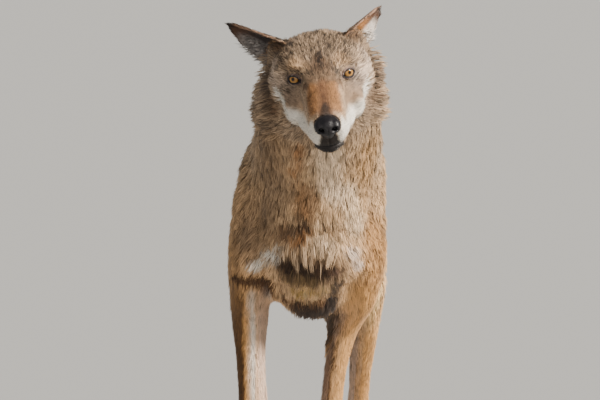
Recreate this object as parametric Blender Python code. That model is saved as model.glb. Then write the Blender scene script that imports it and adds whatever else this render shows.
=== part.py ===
"""A grey wolf in its thin summer coat, walking and looking straight ahead, as a life-size still model.

Metres, +Z up, nose towards -Y, the wolf's left side at +X. The body is built up like clay from named
masses and lofts, fused by a voxel remesh, and parted with thin cuts into the parts a person would name.
"""

import math

import bmesh
import bpy
from mathutils import Matrix, Vector

# Driving dimensions.
WITHERS_HEIGHT = 0.685
RUMP_HEIGHT = 0.655
STERNUM_HEIGHT = 0.346
CHEST_HALF_WIDTH = 0.102
CHEST_ASIDE = 0.005
CUT_GAP = 0.0003

# Head: the eyes' midpoint, and how far the head nods and tips to its right.
EYE_MIDPOINT = Vector((0.0186, -0.470, 0.725))
HEAD_NOD = math.radians(27.0)
HEAD_TIP = math.radians(-7.0)
EYE_RADIUS = 0.0120
EYE_PLACE = Vector((0.0352, -0.0095, 0.0020))
EYE_OUTWARD = math.radians(30)
EYE_SLANT = math.radians(4)
EYE_LIFT = math.radians(18)
EYE_OPENING = Vector((0.0130, 0.0200, 0.0066))
NOSTRIL_PLACE = Vector((0.0092, -0.1375, -0.0155))
NOSTRIL_RADII = (0.0036, 0.0068, 0.0029)

# Feet and claws.
FOREPAW_SIZE = 1.0
HIND_FOOT_SIZE = 0.88
CLAW_RADIUS = 0.0040
CLAW_LENGTH = 0.0205

# Each lump of clay: the voxel it is fused at, rounds of smoothing, and the triangles it is thinned to.
CLAY = {
    "body": (0.0055, 14, 2900),
    "head": (0.0036, 5, 3300),
    "foot": (0.0030, 4, 500),
    "nose": (0.0016, 3, 220),
}
SHARP_EDGE = math.radians(50)
MERGE_DISTANCE = 0.00002

# Finish of each kind of sub-part: base colour and roughness.
FINISHES = {
    "coat_grey": ((0.34, 0.27, 0.19, 1.0), 0.85),
    "coat_tan": ((0.50, 0.33, 0.18, 1.0), 0.85),
    "nose_leather": ((0.03, 0.025, 0.028, 1.0), 0.45),
    "eye_amber": ((0.55, 0.30, 0.08, 1.0), 0.08),
    "claw_horn": ((0.07, 0.05, 0.04, 1.0), 0.4),
}

SIDES = {"left": 1, "right": -1}


def clear_scene():
    for obj in list(bpy.data.objects):
        bpy.data.objects.remove(obj)


def finish(name):
    found = bpy.data.materials.get(name)
    if found:
        return found
    colour, roughness = FINISHES[name]
    made = bpy.data.materials.new(name)
    made.use_nodes = True
    shader = made.node_tree.nodes["Principled BSDF"]
    shader.inputs["Base Color"].default_value = colour
    shader.inputs["Roughness"].default_value = roughness
    shader.inputs["Metallic"].default_value = 0.0
    return made


def new_object(name, bm, finish_name=None, helper=False):
    """An object from a bmesh. A helper is a cutter or a guide and isn't part of the wolf."""
    mesh = bpy.data.meshes.new(name)
    bm.to_mesh(mesh)
    bm.free()
    obj = bpy.data.objects.new(name, mesh)
    bpy.context.scene.collection.objects.link(obj)
    if finish_name:
        mesh.materials.append(finish(finish_name))
    if helper:
        obj.hide_render = True
        obj.display_type = "WIRE"
    return obj


def modelled(obj):
    """A bmesh of the object with its modifiers, in world space."""
    bpy.context.view_layer.update()
    graph = bpy.context.evaluated_depsgraph_get()
    evaluated = obj.evaluated_get(graph)
    bm = bmesh.new()
    bm.from_mesh(evaluated.to_mesh())
    bm.transform(obj.matrix_world)
    evaluated.to_mesh_clear()
    return bm


# Clay: closed shells that overlap, fused later.


def add_shell(clay, rings, place):
    """Joins rings of points into a closed tube with flat ends, and adds it to the clay."""
    made = [[clay.verts.new(place @ point) for point in ring] for ring in rings]
    count = len(made[0])
    faces = []
    for near, far in zip(made, made[1:]):
        for i in range(count):
            j = (i + 1) % count
            faces.append(clay.faces.new((near[i], near[j], far[j], far[i])))
    faces.append(clay.faces.new(list(reversed(made[0]))))
    faces.append(clay.faces.new(made[-1]))
    bmesh.ops.recalc_face_normals(clay, faces=faces)


def oval(centre, across, up, wide, rise, drop, square=2.2, keel=None, sides=24):
    """Points round a squared oval. Above the centre it rises by `rise`, below it drops by `drop`,
    and `keel` is the squareness of the lower half."""
    points = []
    for i in range(sides):
        turn = 2 * math.pi * i / sides
        c, s = math.cos(turn), math.sin(turn)
        power = 2 / (square if s >= 0 or keel is None else keel)
        x = wide * math.copysign(abs(c) ** power, c)
        z = (rise if s >= 0 else drop) * math.copysign(abs(s) ** power, s)
        points.append(centre + across * x + up * z)
    return points


def mass(clay, centre, radii, place=Matrix.Identity(4), turn=(0, 0, 0), fineness=3):
    """An ellipsoid of clay."""
    shape = Matrix.LocRotScale(
        Vector(centre), Matrix.Rotation(math.radians(turn[2]), 3, "Z").to_quaternion()
        @ Matrix.Rotation(math.radians(turn[1]), 3, "Y").to_quaternion()
        @ Matrix.Rotation(math.radians(turn[0]), 3, "X").to_quaternion(), Vector(radii))
    bmesh.ops.create_icosphere(clay, subdivisions=fineness, radius=1.0, matrix=place @ shape)


def limb(clay, stations, place=Matrix.Identity(4)):
    """A tube along joints. Each station is (x, y, z, half width sideways, half depth fore and aft)."""
    points = [Vector(s[:3]) for s in stations]
    rings = []
    for i, station in enumerate(stations):
        before, after = points[max(i - 1, 0)], points[min(i + 1, len(points) - 1)]
        along = (after - before).normalized()
        fore = along.cross(Vector((1, 0, 0))).normalized()
        across = fore.cross(along).normalized()
        rings.append(oval(points[i], across, fore, station[3], station[4], station[4], 2.1, sides=18))
    add_shell(clay, rings, place)


def trunk_and_neck(clay):
    """Trunk stations: place along the body, top, bottom, half width. The chest is keeled."""
    top, hip, keel = WITHERS_HEIGHT, RUMP_HEIGHT, STERNUM_HEIGHT
    wide = CHEST_HALF_WIDTH
    stations = [
        (-0.318, 0.565, 0.452, wide * 0.50),
        (-0.295, 0.610, 0.412, wide * 0.76),
        (-0.255, 0.645, 0.374, wide * 0.92),
        (-0.200, top - 0.010, keel + 0.007, wide * 1.00),
        (-0.140, top, keel, wide * 1.03),
        (-0.060, top - 0.016, keel + 0.002, wide * 1.07),
        (0.020, hip + 0.001, keel + 0.010, wide * 1.11),
        (0.100, hip - 0.005, keel + 0.025, wide * 1.12),
        (0.180, hip - 0.002, keel + 0.052, wide * 1.04),
        (0.250, hip, keel + 0.080, wide * 0.95),
        (0.320, hip, keel + 0.098, wide * 0.95),
        (0.380, hip - 0.016, keel + 0.112, wide * 0.88),
        (0.425, hip - 0.045, keel + 0.140, wide * 0.68),
        (0.455, hip - 0.085, keel + 0.170, wide * 0.42),
        (0.472, hip - 0.115, keel + 0.195, wide * 0.22),
    ]
    rings = []
    for y, high, low, half in stations:
        middle = low + 0.56 * (high - low)
        rings.append(oval(Vector((CHEST_ASIDE, y, middle)), Vector((1, 0, 0)), Vector((0, 0, 1)),
                          half, high - middle, middle - low, 2.15, 1.85))
    add_shell(clay, rings, Matrix.Identity(4))

    # Neck, from the withers up to the back of the skull: centre, half width, rise, drop.
    neck = [
        ((0.006, -0.150, 0.530), 0.098, 0.142, 0.120),
        ((0.011, -0.215, 0.565), 0.099, 0.126, 0.126),
        ((0.014, -0.275, 0.610), 0.098, 0.106, 0.126),
        ((0.017, -0.330, 0.652), 0.094, 0.091, 0.118),
        ((0.018, -0.380, 0.688), 0.089, 0.074, 0.104),
        ((0.018, -0.415, 0.710), 0.079, 0.055, 0.082),
    ]
    axis = (Vector(neck[-1][0]) - Vector(neck[0][0])).normalized()
    across = Vector((1, 0, 0))
    up = axis.cross(across).normalized() * -1
    rings = [oval(Vector(centre), across, up, half, rise, drop, 2.1, 1.85) for centre, half, rise, drop in neck]
    add_shell(clay, rings, Matrix.Identity(4))

    # Breast, with the fur that hangs at its foot, and the groin.
    mass(clay, (0.010, -0.276, 0.492), (0.088, 0.062, 0.100))
    mass(clay, (0.006, -0.248, 0.420), (0.060, 0.046, 0.064))
    mass(clay, (0.012, -0.312, 0.525), (0.080, 0.040, 0.080), turn=(22, 0, 0))
    for side in SIDES.values():
        mass(clay, (side * 0.045 + CHEST_ASIDE, 0.250, 0.470), (0.038, 0.080, 0.055), turn=(-20, 0, 0))


def tail(clay):
    """The tail slopes back from the croup and hangs at its end: place along Y, height, half width."""
    stations = [
        (0.405, 0.594, 0.034),
        (0.445, 0.586, 0.034),
        (0.490, 0.570, 0.033),
        (0.530, 0.537, 0.036),
        (0.565, 0.495, 0.040),
        (0.594, 0.448, 0.042),
        (0.616, 0.402, 0.039),
        (0.632, 0.360, 0.031),
        (0.642, 0.330, 0.019),
        (0.647, 0.314, 0.006),
    ]
    limb(clay, [(CHEST_ASIDE, y, z, half, half * 0.95) for y, z, half in stations])


# Legs. A foreleg's joints are given for the left side; `reach` carries the foot forward and
# `inward` carries it towards the midline, both as the leg swings from the shoulder.

FORELEGS = {
    "left": {"side": 1, "reach": -0.060, "inward": 0.056, "thick": 0.88, "spread": 0.019},
    "right": {"side": -1, "reach": 0.045, "inward": 0.003, "thick": 1.0, "spread": 0.0},
}
HINDLEGS = {
    "left": {"side": 1, "reach": 0.085},
    "right": {"side": -1, "reach": -0.035},
}
ELBOW_HEIGHT = 0.365
CARPUS_HEIGHT = 0.176
STIFLE_HEIGHT = 0.375
HOCK_HEIGHT = 0.178
PAW_JOINT = 0.058

# (x, y, z, half width, half depth), with the foot under the elbow.
FORELEG = [
    (0.048, -0.140, 0.640, 0.020, 0.040),
    (0.064, -0.185, 0.580, 0.036, 0.062),
    (0.077, -0.238, 0.505, 0.039, 0.058),
    (0.083, -0.248, 0.455, 0.037, 0.054),
    (0.086, -0.212, 0.405, 0.034, 0.055),
    (0.087, -0.180, ELBOW_HEIGHT, 0.031, 0.047),
    (0.087, -0.180, 0.330, 0.0275, 0.0375),
    (0.087, -0.186, 0.285, 0.0225, 0.0290),
    (0.086, -0.190, 0.235, 0.0210, 0.0235),
    (0.085, -0.193, 0.205, 0.0225, 0.0235),
    (0.084, -0.196, CARPUS_HEIGHT, 0.0245, 0.0250),
    (0.084, -0.196, 0.150, 0.0225, 0.0220),
    (0.083, -0.200, 0.105, 0.0205, 0.0190),
    (0.083, -0.206, PAW_JOINT, 0.0245, 0.0205),
    (0.083, -0.216, 0.034, 0.0300, 0.0230),
]
HINDLEG = [
    (0.048, 0.350, 0.600, 0.038, 0.075),
    (0.064, 0.330, 0.530, 0.044, 0.094),
    (0.079, 0.298, 0.465, 0.042, 0.086),
    (0.089, 0.268, 0.415, 0.038, 0.064),
    (0.092, 0.262, STIFLE_HEIGHT, 0.033, 0.051),
    (0.090, 0.292, 0.330, 0.0285, 0.042),
    (0.087, 0.335, 0.280, 0.0235, 0.031),
    (0.083, 0.380, 0.228, 0.0190, 0.024),
    (0.081, 0.413, 0.193, 0.0185, 0.0245),
    (0.080, 0.421, 0.165, 0.0190, 0.0240),
    (0.079, 0.416, 0.120, 0.0185, 0.0190),
    (0.079, 0.408, 0.080, 0.0190, 0.0180),
    (0.079, 0.398, PAW_JOINT, 0.0220, 0.0200),
    (0.079, 0.386, 0.034, 0.0265, 0.0220),
]


def foreleg_stations(leg):
    """The foreleg's stations with the swing added below the shoulder. It turns in at the elbow."""
    shoulder, elbow_top, turn_in = 0.505, 0.420, 12
    made = []
    for x, y, z, half, depth in FORELEG:
        swing = min(max((shoulder - z) / shoulder, 0), 1)
        inward = leg["inward"] * (1 - math.exp(-turn_in * max(elbow_top - z, 0)))
        spread = leg["spread"] if z > shoulder else 0
        thick = leg["thick"] if z < ELBOW_HEIGHT else 1
        aside = leg["side"] * (x + spread - inward)
        made.append((aside, y - leg["reach"] * swing, z, half * thick, depth * thick))
    return made


def hindleg_stations(leg):
    """The hind leg's stations. Below the stifle the shank swings the most."""
    hip = 0.560
    made = []
    for x, y, z, half, depth in HINDLEG:
        swing = min(max((hip - z) / hip, 0), 1)
        made.append((leg["side"] * x, y - leg["reach"] * swing, z, half, depth))
    return made


def joint_plane(stations, height):
    """A plane across the leg where it passes this height, facing down the leg."""
    for upper, lower in zip(stations, stations[1:]):
        if upper[2] >= height >= lower[2]:
            along = Vector(lower[:3]) - Vector(upper[:3])
            share = (upper[2] - height) / (upper[2] - lower[2])
            return Vector(upper[:3]) + along * share, along.normalized()
    raise ValueError("the leg doesn't pass this height")


def foreleg_clay(clay, stations):
    """The foreleg with the point of the elbow and the pad behind the wrist."""
    limb(clay, stations)
    elbow, _ = joint_plane(stations, ELBOW_HEIGHT)
    mass(clay, elbow + Vector((0, 0.034, 0.010)), (0.015, 0.020, 0.026))
    wrist, _ = joint_plane(stations, CARPUS_HEIGHT - 0.028)
    mass(clay, wrist + Vector((0, 0.015, 0)), (0.0110, 0.0110, 0.0150))


def hindleg_clay(clay, stations):
    """The hind leg with the point of the hock."""
    limb(clay, stations)
    hock, _ = joint_plane(stations, HOCK_HEIGHT)
    mass(clay, hock + Vector((0, 0.013, 0.014)), (0.0135, 0.0145, 0.0260), turn=(20, 0, 0))


def sole_centre(stations, size):
    """The middle of the sole, on the floor."""
    return Vector((stations[-1][0], stations[-1][1] - 0.014 * size, 0))


def paw(clay, stations, size, inner):
    """A paw under the last station: a heel pad and its toes."""
    centre = sole_centre(stations, size)
    mass(clay, centre + Vector((0, 0.006, 0.0228)) * size, Vector((0.0325, 0.036, 0.0245)) * size)
    for toe in toes(size, inner):
        mass(clay, centre + toe["middle"], toe["radii"], turn=(-8, 0, toe["splay"]))
        mass(clay, centre + toe["knuckle"], toe["radii"] * 0.86, turn=(-24, 0, toe["splay"]))


def toes(size, inner):
    """Place, radii, splay and claw root of the toes of a paw of this size, the middle two longest.
    A forepaw has a small fifth toe on its `inner` side (+1 or -1); for a hind foot `inner` is 0."""
    made = []
    for across, forward, splay in ((-0.0275, 0.026, -5), (-0.0098, 0.043, -2), (0.0098, 0.043, 2),
                                   (0.0275, 0.026, 5)):
        middle = Vector((across, -forward, 0.0138)) * size
        made.append({
            "middle": middle,
            "knuckle": middle + Vector((0, 0.017, 0.0095)) * size,
            "radii": Vector((0.0122, 0.0215, 0.0165)) * size,
            "splay": splay,
            "claw": middle + Vector((math.radians(splay) * 0.014, -0.014, 0.0030)) * size,
        })
    if inner:
        middle = Vector((inner * 0.0180, 0.012, 0.072))
        made.append({
            "middle": middle,
            "knuckle": middle + Vector((-inner * 0.003, 0.006, 0.012)),
            "radii": Vector((0.0080, 0.0095, 0.0120)),
            "splay": 0,
            "claw": middle + Vector((inner * 0.0030, -0.004, -0.002)),
        })
    return made


# Head. Its own frame has the eyes' midpoint at the origin, forward = -Y, up = +Z.

HEAD_PLACE = (Matrix.Translation(EYE_MIDPOINT) @ Matrix.Rotation(HEAD_TIP, 4, "Y")
              @ Matrix.Rotation(HEAD_NOD, 4, "X"))

# Skull and upper muzzle: forward, top, bottom, half width, squareness.
SKULL = [
    (-0.118, 0.002, -0.045, 0.034, 2.0),
    (-0.100, 0.019, -0.055, 0.053, 2.0),
    (-0.075, 0.0345, -0.058, 0.064, 2.1),
    (-0.048, 0.0425, -0.056, 0.069, 2.2),
    (-0.022, 0.0435, -0.054, 0.069, 2.3),
    (-0.008, 0.0395, -0.052, 0.0660, 2.5),
    (0.002, 0.0360, -0.052, 0.0610, 2.6),
    (0.011, 0.0315, -0.051, 0.0530, 2.6),
    (0.019, 0.0265, -0.050, 0.0435, 2.6),
    (0.028, 0.0215, -0.050, 0.0350, 2.6),
    (0.038, 0.0165, -0.0505, 0.0325, 2.6),
    (0.060, 0.0095, -0.0510, 0.0300, 2.6),
    (0.080, 0.0045, -0.0510, 0.0285, 2.6),
    (0.100, 0.0000, -0.0510, 0.0272, 2.5),
    (0.115, -0.0045, -0.0500, 0.0250, 2.4),
    (0.125, -0.0110, -0.0470, 0.0200, 2.3),
]
JAW = [
    (-0.060, -0.036, -0.092, 0.052),
    (-0.030, -0.038, -0.093, 0.052),
    (0.000, -0.040, -0.090, 0.046),
    (0.030, -0.042, -0.083, 0.037),
    (0.060, -0.044, -0.0770, 0.0300),
    (0.085, -0.046, -0.0730, 0.0260),
    (0.104, -0.047, -0.0690, 0.0220),
    (0.115, -0.050, -0.0620, 0.0150),
]


def head(clay):
    place = HEAD_PLACE
    x_axis, z_axis = Vector((1, 0, 0)), Vector((0, 0, 1))
    rings = []
    for forward, high, low, half, square in SKULL:
        middle = low + 0.50 * (high - low)
        rings.append(oval(Vector((0, -forward, middle)), x_axis, z_axis, half,
                          high - middle, middle - low, square))
    add_shell(clay, rings, place)
    rings = []
    for forward, high, low, half in JAW:
        middle = (high + low) / 2
        rings.append(oval(Vector((0, -forward, middle)), x_axis, z_axis, half,
                          high - middle, middle - low, 2.2, 2.0))
    add_shell(clay, rings, place)
    mass(clay, (0, 0.074, -0.072), (0.062, 0.062, 0.046), place)  # throat
    mass(clay, (0, -0.116, -0.015), (0.018, 0.013, 0.012), place)  # root of the nose
    for side in SIDES.values():
        mass(clay, (side * 0.045, 0.036, -0.026), (0.033, 0.045, 0.036), place)  # cheek muscle
        mass(clay, (side * 0.050, 0.064, -0.034), (0.031, 0.034, 0.046), place)  # cheek ruff
        mass(clay, (side * 0.038, 0.018, -0.052), (0.025, 0.050, 0.030), place)  # lower cheek
        mass(clay, (side * 0.024, -0.028, -0.053), (0.0170, 0.045, 0.0190), place)  # mouth corner
        mass(clay, (side * 0.042, -0.004, -0.036), (0.0185, 0.032, 0.0230), place)  # cheek bone
        mass(clay, (side * 0.046, 0.060, 0.006), (0.027, 0.034, 0.025), place)  # ear muscle
        mass(clay, (side * 0.036, 0.000, 0.0210), (0.0190, 0.019, 0.0105), place,
             turn=(10, side * 14, side * 24))  # brow
        mass(clay, (side * 0.046, 0.004, -0.0160), (0.0175, 0.021, 0.0105), place,
             turn=(8, side * -10, side * 30))  # under the eye
        mass(clay, (side * 0.0205, -0.060, -0.0420), (0.0150, 0.040, 0.0170), place)  # upper lip
        mass(clay, (side * 0.0150, -0.094, -0.0360), (0.0165, 0.030, 0.0165), place)  # whisker pad
        mass(clay, (side * 0.0115, -0.111, -0.0375), (0.0140, 0.015, 0.0130), place)  # lip by nose
    mass(clay, (0, -0.103, -0.0590), (0.0175, 0.015, 0.0120), place)  # chin


def ear_shell(name, base, tip, facing, half_base):
    """A cupped pinna from its base to its tip, its hollow side towards `facing`, in the head's frame."""
    base, tip, facing = Vector(base), Vector(tip), Vector(facing)
    long_axis = (tip - base).normalized()
    across = long_axis.cross(facing).normalized()
    facing = across.cross(long_axis).normalized()
    length = (tip - base).length
    bm = bmesh.new()
    rows, columns, cup, thick = 7, 6, 0.020, 0.0046
    outer, inner = [], []
    for i in range(rows + 1):
        t = i / rows
        half = half_base * (1 - t ** 1.7) ** 0.75 * (1 - 0.10 * math.sin(math.pi * t)) + 0.0016
        depth = cup * (1 - t) ** 0.9 + 0.0015
        skin = thick * (1 - 0.45 * t)
        row_outer, row_inner = [], []
        for j in range(columns + 1):
            s = 2 * j / columns - 1
            curl = -depth * (1 - s * s)
            lean = 0.010 * math.sin(math.pi * t * 0.5)
            point = base + long_axis * (length * t) + across * (half * s) + facing * (curl + lean)
            edge = 0.35 + 0.65 * (1 - s ** 4)
            row_outer.append(bm.verts.new(HEAD_PLACE @ (point - facing * skin * edge * 0.5)))
            row_inner.append(bm.verts.new(HEAD_PLACE @ (point + facing * skin * edge * 0.5)))
        outer.append(row_outer)
        inner.append(row_inner)
    for i in range(rows):
        for j in range(columns):
            bm.faces.new((outer[i][j], outer[i][j + 1], outer[i + 1][j + 1], outer[i + 1][j]))
            bm.faces.new((inner[i][j], inner[i + 1][j], inner[i + 1][j + 1], inner[i][j + 1]))
        for j in (0, columns):
            bm.faces.new((outer[i][j], outer[i + 1][j], inner[i + 1][j], inner[i][j]))
    for i in (0, rows):
        for j in range(columns):
            bm.faces.new((outer[i][j], outer[i][j + 1], inner[i][j + 1], inner[i][j]))
    bmesh.ops.recalc_face_normals(bm, faces=bm.faces)
    return new_object(name, bm, helper=True)


# The wolf's left ear stands more upright than its right ear, which is turned out sideways.
EARS = {
    "left": {"base": (0.055, 0.050, 0.015), "tip": (0.088, 0.102, 0.0445), "facing": (0.93, -0.34, -0.10),
             "half_base": 0.032},
    "right": {"base": (-0.060, 0.052, 0.009), "tip": (-0.118, 0.098, 0.052), "facing": (-0.45, -0.78, -0.40),
              "half_base": 0.039},
}


def fused(name, build, kind):
    """Fuses clay into one skin and thins it, as its kind says."""
    voxel, smoothing, triangles = CLAY[kind]
    clay = bmesh.new()
    build(clay)
    lump = new_object(name + "_clay", clay, helper=True)
    remesh = lump.modifiers.new("Fuse", "REMESH")
    remesh.mode = "VOXEL"
    remesh.voxel_size = voxel
    smooth = lump.modifiers.new("Blend", "SMOOTH")
    smooth.factor = 0.5
    smooth.iterations = smoothing
    fine = modelled(lump)
    count = sum(len(face.verts) - 2 for face in fine.faces)
    skin = new_object(name + "_skin", fine, helper=True)
    thin = skin.modifiers.new("Thin", "DECIMATE")
    thin.ratio = min(1.0, triangles / count)
    made = new_object(name + "_whole", modelled(skin), helper=True)
    bpy.data.objects.remove(lump)
    bpy.data.objects.remove(skin)
    return made


# Cutting planes: a point on the plane and the way it faces. A region keeps what is behind its planes.

AWAY = 2.0


def region(name, planes, grow):
    """A convex block bounded by the planes, each moved out by `grow`."""
    bm = bmesh.new()
    bmesh.ops.create_cube(bm, size=2 * AWAY)
    for point, facing in planes:
        facing = Vector(facing).normalized()
        cut = bmesh.ops.bisect_plane(
            bm, geom=bm.verts[:] + bm.edges[:] + bm.faces[:], plane_co=Vector(point) + facing * grow,
            plane_no=facing, clear_outer=True)
        edges = [e for e in cut["geom_cut"] if isinstance(e, bmesh.types.BMEdge)]
        bmesh.ops.contextual_create(bm, geom=edges)
    bmesh.ops.recalc_face_normals(bm, faces=bm.faces)
    return new_object(name, bm, helper=True)


def cut_from(obj, tool, operation):
    boolean = obj.modifiers.new(tool.name, "BOOLEAN")
    boolean.operation = operation
    boolean.solver = "EXACT"
    boolean.object = tool


def largest_body(bm):
    """Keeps only the largest connected body of the mesh."""
    left, bodies = set(bm.faces), []
    while left:
        body, front = set(), [next(iter(left))]
        while front:
            face = front.pop()
            if face in body:
                continue
            body.add(face)
            front.extend(f for e in face.edges for f in e.link_faces if f not in body)
        left -= body
        bodies.append(body)
    bodies.sort(key=lambda b: sum(f.calc_area() for f in b))
    for body in bodies[:-1]:
        bmesh.ops.delete(bm, geom=list(body), context="FACES")
    return bm


def finished(obj, name, finish_name, minus=()):
    """The node made from a helper with its cuts applied, less what `minus` holds plus a gap."""
    bm = largest_body(modelled(obj))
    bmesh.ops.triangulate(bm, faces=bm.faces)
    bmesh.ops.remove_doubles(bm, verts=bm.verts, dist=MERGE_DISTANCE)
    made = new_object(name, bm, finish_name)
    for other in minus:
        cut_from(made, swollen(other), "DIFFERENCE")
    if minus:
        whole = largest_body(modelled(made))
        bpy.data.objects.remove(made)
        made = new_object(name, whole, finish_name)
    made.data.shade_smooth()
    made.data.set_sharp_from_angle(angle=SHARP_EDGE)
    return made


def swollen(obj):
    """A cutter a gap's width larger than the object."""
    bm = modelled(obj)
    bm.normal_update()
    for vert in bm.verts:
        vert.co += vert.normal * CUT_GAP * 1.6
    return new_object(obj.name + "_cutter", bm, helper=True)


def parted(whole, name, planes, finish_name, less=(), minus=()):
    """The piece of the whole inside the planes, less the regions in `less`."""
    piece = new_object(name + "_rough", modelled(whole), helper=True)
    cut_from(piece, region(name + "_block", planes, -CUT_GAP / 2), "INTERSECT")
    for index, other in enumerate(less):
        cut_from(piece, region(f"{name}_less_{index}", other, CUT_GAP / 2), "DIFFERENCE")
    return finished(piece, name, finish_name, minus)


def flipped(plane):
    point, facing = plane
    return point, tuple(-Vector(facing))


# Head to neck, neck to trunk, trunk to tail.
HEAD_CUT = (HEAD_PLACE @ Vector((0, 0.078, -0.010)), HEAD_PLACE.to_3x3() @ Vector((0, 1, 0.30)))
THROAT_CUT = (HEAD_PLACE @ Vector((0, 0.020, -0.100)), HEAD_PLACE.to_3x3() @ Vector((0, 0.55, -0.83)))
HEAD_PLANES = [HEAD_CUT, THROAT_CUT]
NECK_CUT = ((0, -0.245, 0.590), (0, 0.84, -0.54))
TAIL_CUT = ((0, 0.462, 0.560), (0, -1, 0.06))
FLOOR = ((0, 0, -CUT_GAP / 2), (0, 0, -1))


def foreleg_planes(side):
    """Behind these planes is the foreleg with its shoulder."""
    return [((side * 0.052, 0, 0.400), (-side, 0, 0.28)), ((0, -0.085, 0.40), (0, 1, 0.20)), flipped(NECK_CUT)]


def hindleg_planes(side):
    """Behind these planes is the hind leg with its thigh."""
    return [((side * 0.045, 0, 0.430), (-side, 0, 0.34)), ((0, 0.185, 0.40), (0, -1, 0.10)),
            ((0, 0.440, 0.560), (0, 0.80, 0.60))]


def whole_body(clay):
    trunk_and_neck(clay)
    tail(clay)
    head(clay)
    for leg in FORELEGS.values():
        foreleg_clay(clay, foreleg_stations(leg))
    for leg in HINDLEGS.values():
        hindleg_clay(clay, hindleg_stations(leg))


def head_and_neck(clay):
    trunk_and_neck(clay)
    head(clay)


def one_foot(leg_clay, stations, size, inner):
    """Builds the clay of the leg and its paw."""
    def build(clay):
        leg_clay(clay, stations)
        paw(clay, stations, size, inner)
    return build


def build_legs(body):
    for name, leg in FORELEGS.items():
        stations = foreleg_stations(leg)
        elbow = joint_plane(stations, ELBOW_HEIGHT - 0.030)
        wrist = joint_plane(stations, CARPUS_HEIGHT)
        planes = foreleg_planes(leg["side"])
        parted(body, f"foreleg_{name}_shoulder", planes + [elbow], "coat_grey")
        parted(body, f"foreleg_{name}_forearm", planes + [flipped(elbow), wrist], "coat_tan")
        build_foot(f"foreleg_{name}", "paw", foreleg_clay, stations, wrist, FOREPAW_SIZE, -leg["side"])
    for name, leg in HINDLEGS.items():
        stations = hindleg_stations(leg)
        stifle = joint_plane(stations, STIFLE_HEIGHT - 0.020)
        hock = joint_plane(stations, HOCK_HEIGHT + 0.020)
        planes = hindleg_planes(leg["side"])
        parted(body, f"hindleg_{name}_thigh", planes + [stifle], "coat_grey")
        parted(body, f"hindleg_{name}_shank", planes + [flipped(stifle), hock], "coat_tan")
        build_foot(f"hindleg_{name}", "foot", hindleg_clay, stations, hock, HIND_FOOT_SIZE, 0)


def build_foot(leg_name, part_name, leg_clay, stations, joint, size, inner):
    """The foot below its joint, flat where it meets the floor, with its claws."""
    whole = fused(f"{leg_name}_foot", one_foot(leg_clay, stations, size, inner), "foot")
    foot = parted(whole, f"{leg_name}_{part_name}", [flipped(joint), FLOOR], "coat_tan")
    sole = sole_centre(stations, size)
    for number, toe in enumerate(toes(size, inner), start=1):
        build_claw(f"{leg_name}_claw_{number}", sole + toe["claw"], toe["splay"], CLAW_LENGTH * size, foot)


def build_claw(name, root, splay, length, foot):
    """A blunt curved claw that leaves the toe at `root` and bends down to just above the floor."""
    bm = bmesh.new()
    rings = []
    out = Matrix.Rotation(math.radians(splay), 3, "Z") @ Vector((0, -1, 0))
    across = Matrix.Rotation(math.radians(splay), 3, "Z") @ Vector((1, 0, 0))
    steps = 3
    for step in range(steps + 1):
        t = step / steps
        drop = 0.0120 * t ** 1.7
        centre = root + out * (length * t) - Vector((0, 0, drop))
        half = CLAW_RADIUS * (1 - 0.62 * t ** 1.5)
        rings.append(oval(centre, across, Vector((0, 0, 1)), half * 0.8, half, half, 2.0, sides=6))
    add_shell(bm, rings, Matrix.Identity(4))
    rough = new_object(name + "_rough", bm, helper=True)
    finished(rough, name, "claw_horn", [foot])


def ball(name, centre, radius, subdivisions, finish_name=None, helper=False):
    bm = bmesh.new()
    bmesh.ops.create_icosphere(bm, subdivisions=subdivisions, radius=radius, matrix=Matrix.Translation(centre))
    return new_object(name, bm, finish_name, helper)


def eye_place(side):
    """The eye's own frame: centre of the ball, looking along -Y, with the outer corner raised."""
    return (HEAD_PLACE @ Matrix.Translation((side * EYE_PLACE.x, EYE_PLACE.y, EYE_PLACE.z))
            @ Matrix.Rotation(side * EYE_OUTWARD, 4, "Z") @ Matrix.Rotation(-EYE_LIFT, 4, "X")
            @ Matrix.Rotation(-side * EYE_SLANT, 4, "Y"))


def nose_clay(clay):
    """The nose pad: a flat top, a face with its wings, and the groove's foot above the lip."""
    mass(clay, (0, -0.1215, -0.0145), (0.0175, 0.0130, 0.0112), HEAD_PLACE)
    mass(clay, (0, -0.1290, -0.0180), (0.0125, 0.0100, 0.0135), HEAD_PLACE)
    mass(clay, (0, -0.1255, -0.0270), (0.0085, 0.0085, 0.0090), HEAD_PLACE)
    for side in SIDES.values():
        mass(clay, (side * 0.0108, -0.1262, -0.0165), (0.0080, 0.0108, 0.0100), HEAD_PLACE)


def build_nose():
    """The nose leather, a rounded pad with two nostrils that open forwards and out."""
    whole = fused("nose", nose_clay, "nose")
    for name, side in SIDES.items():
        bore = bmesh.new()
        mass(bore, (side * NOSTRIL_PLACE.x, NOSTRIL_PLACE.y, NOSTRIL_PLACE.z), NOSTRIL_RADII, HEAD_PLACE,
             (0, side * -25, side * -22), 2)
        cut_from(whole, new_object(f"nostril_{name}", bore, helper=True), "DIFFERENCE")
    return finished(whole, "nose", "nose_leather")


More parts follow.
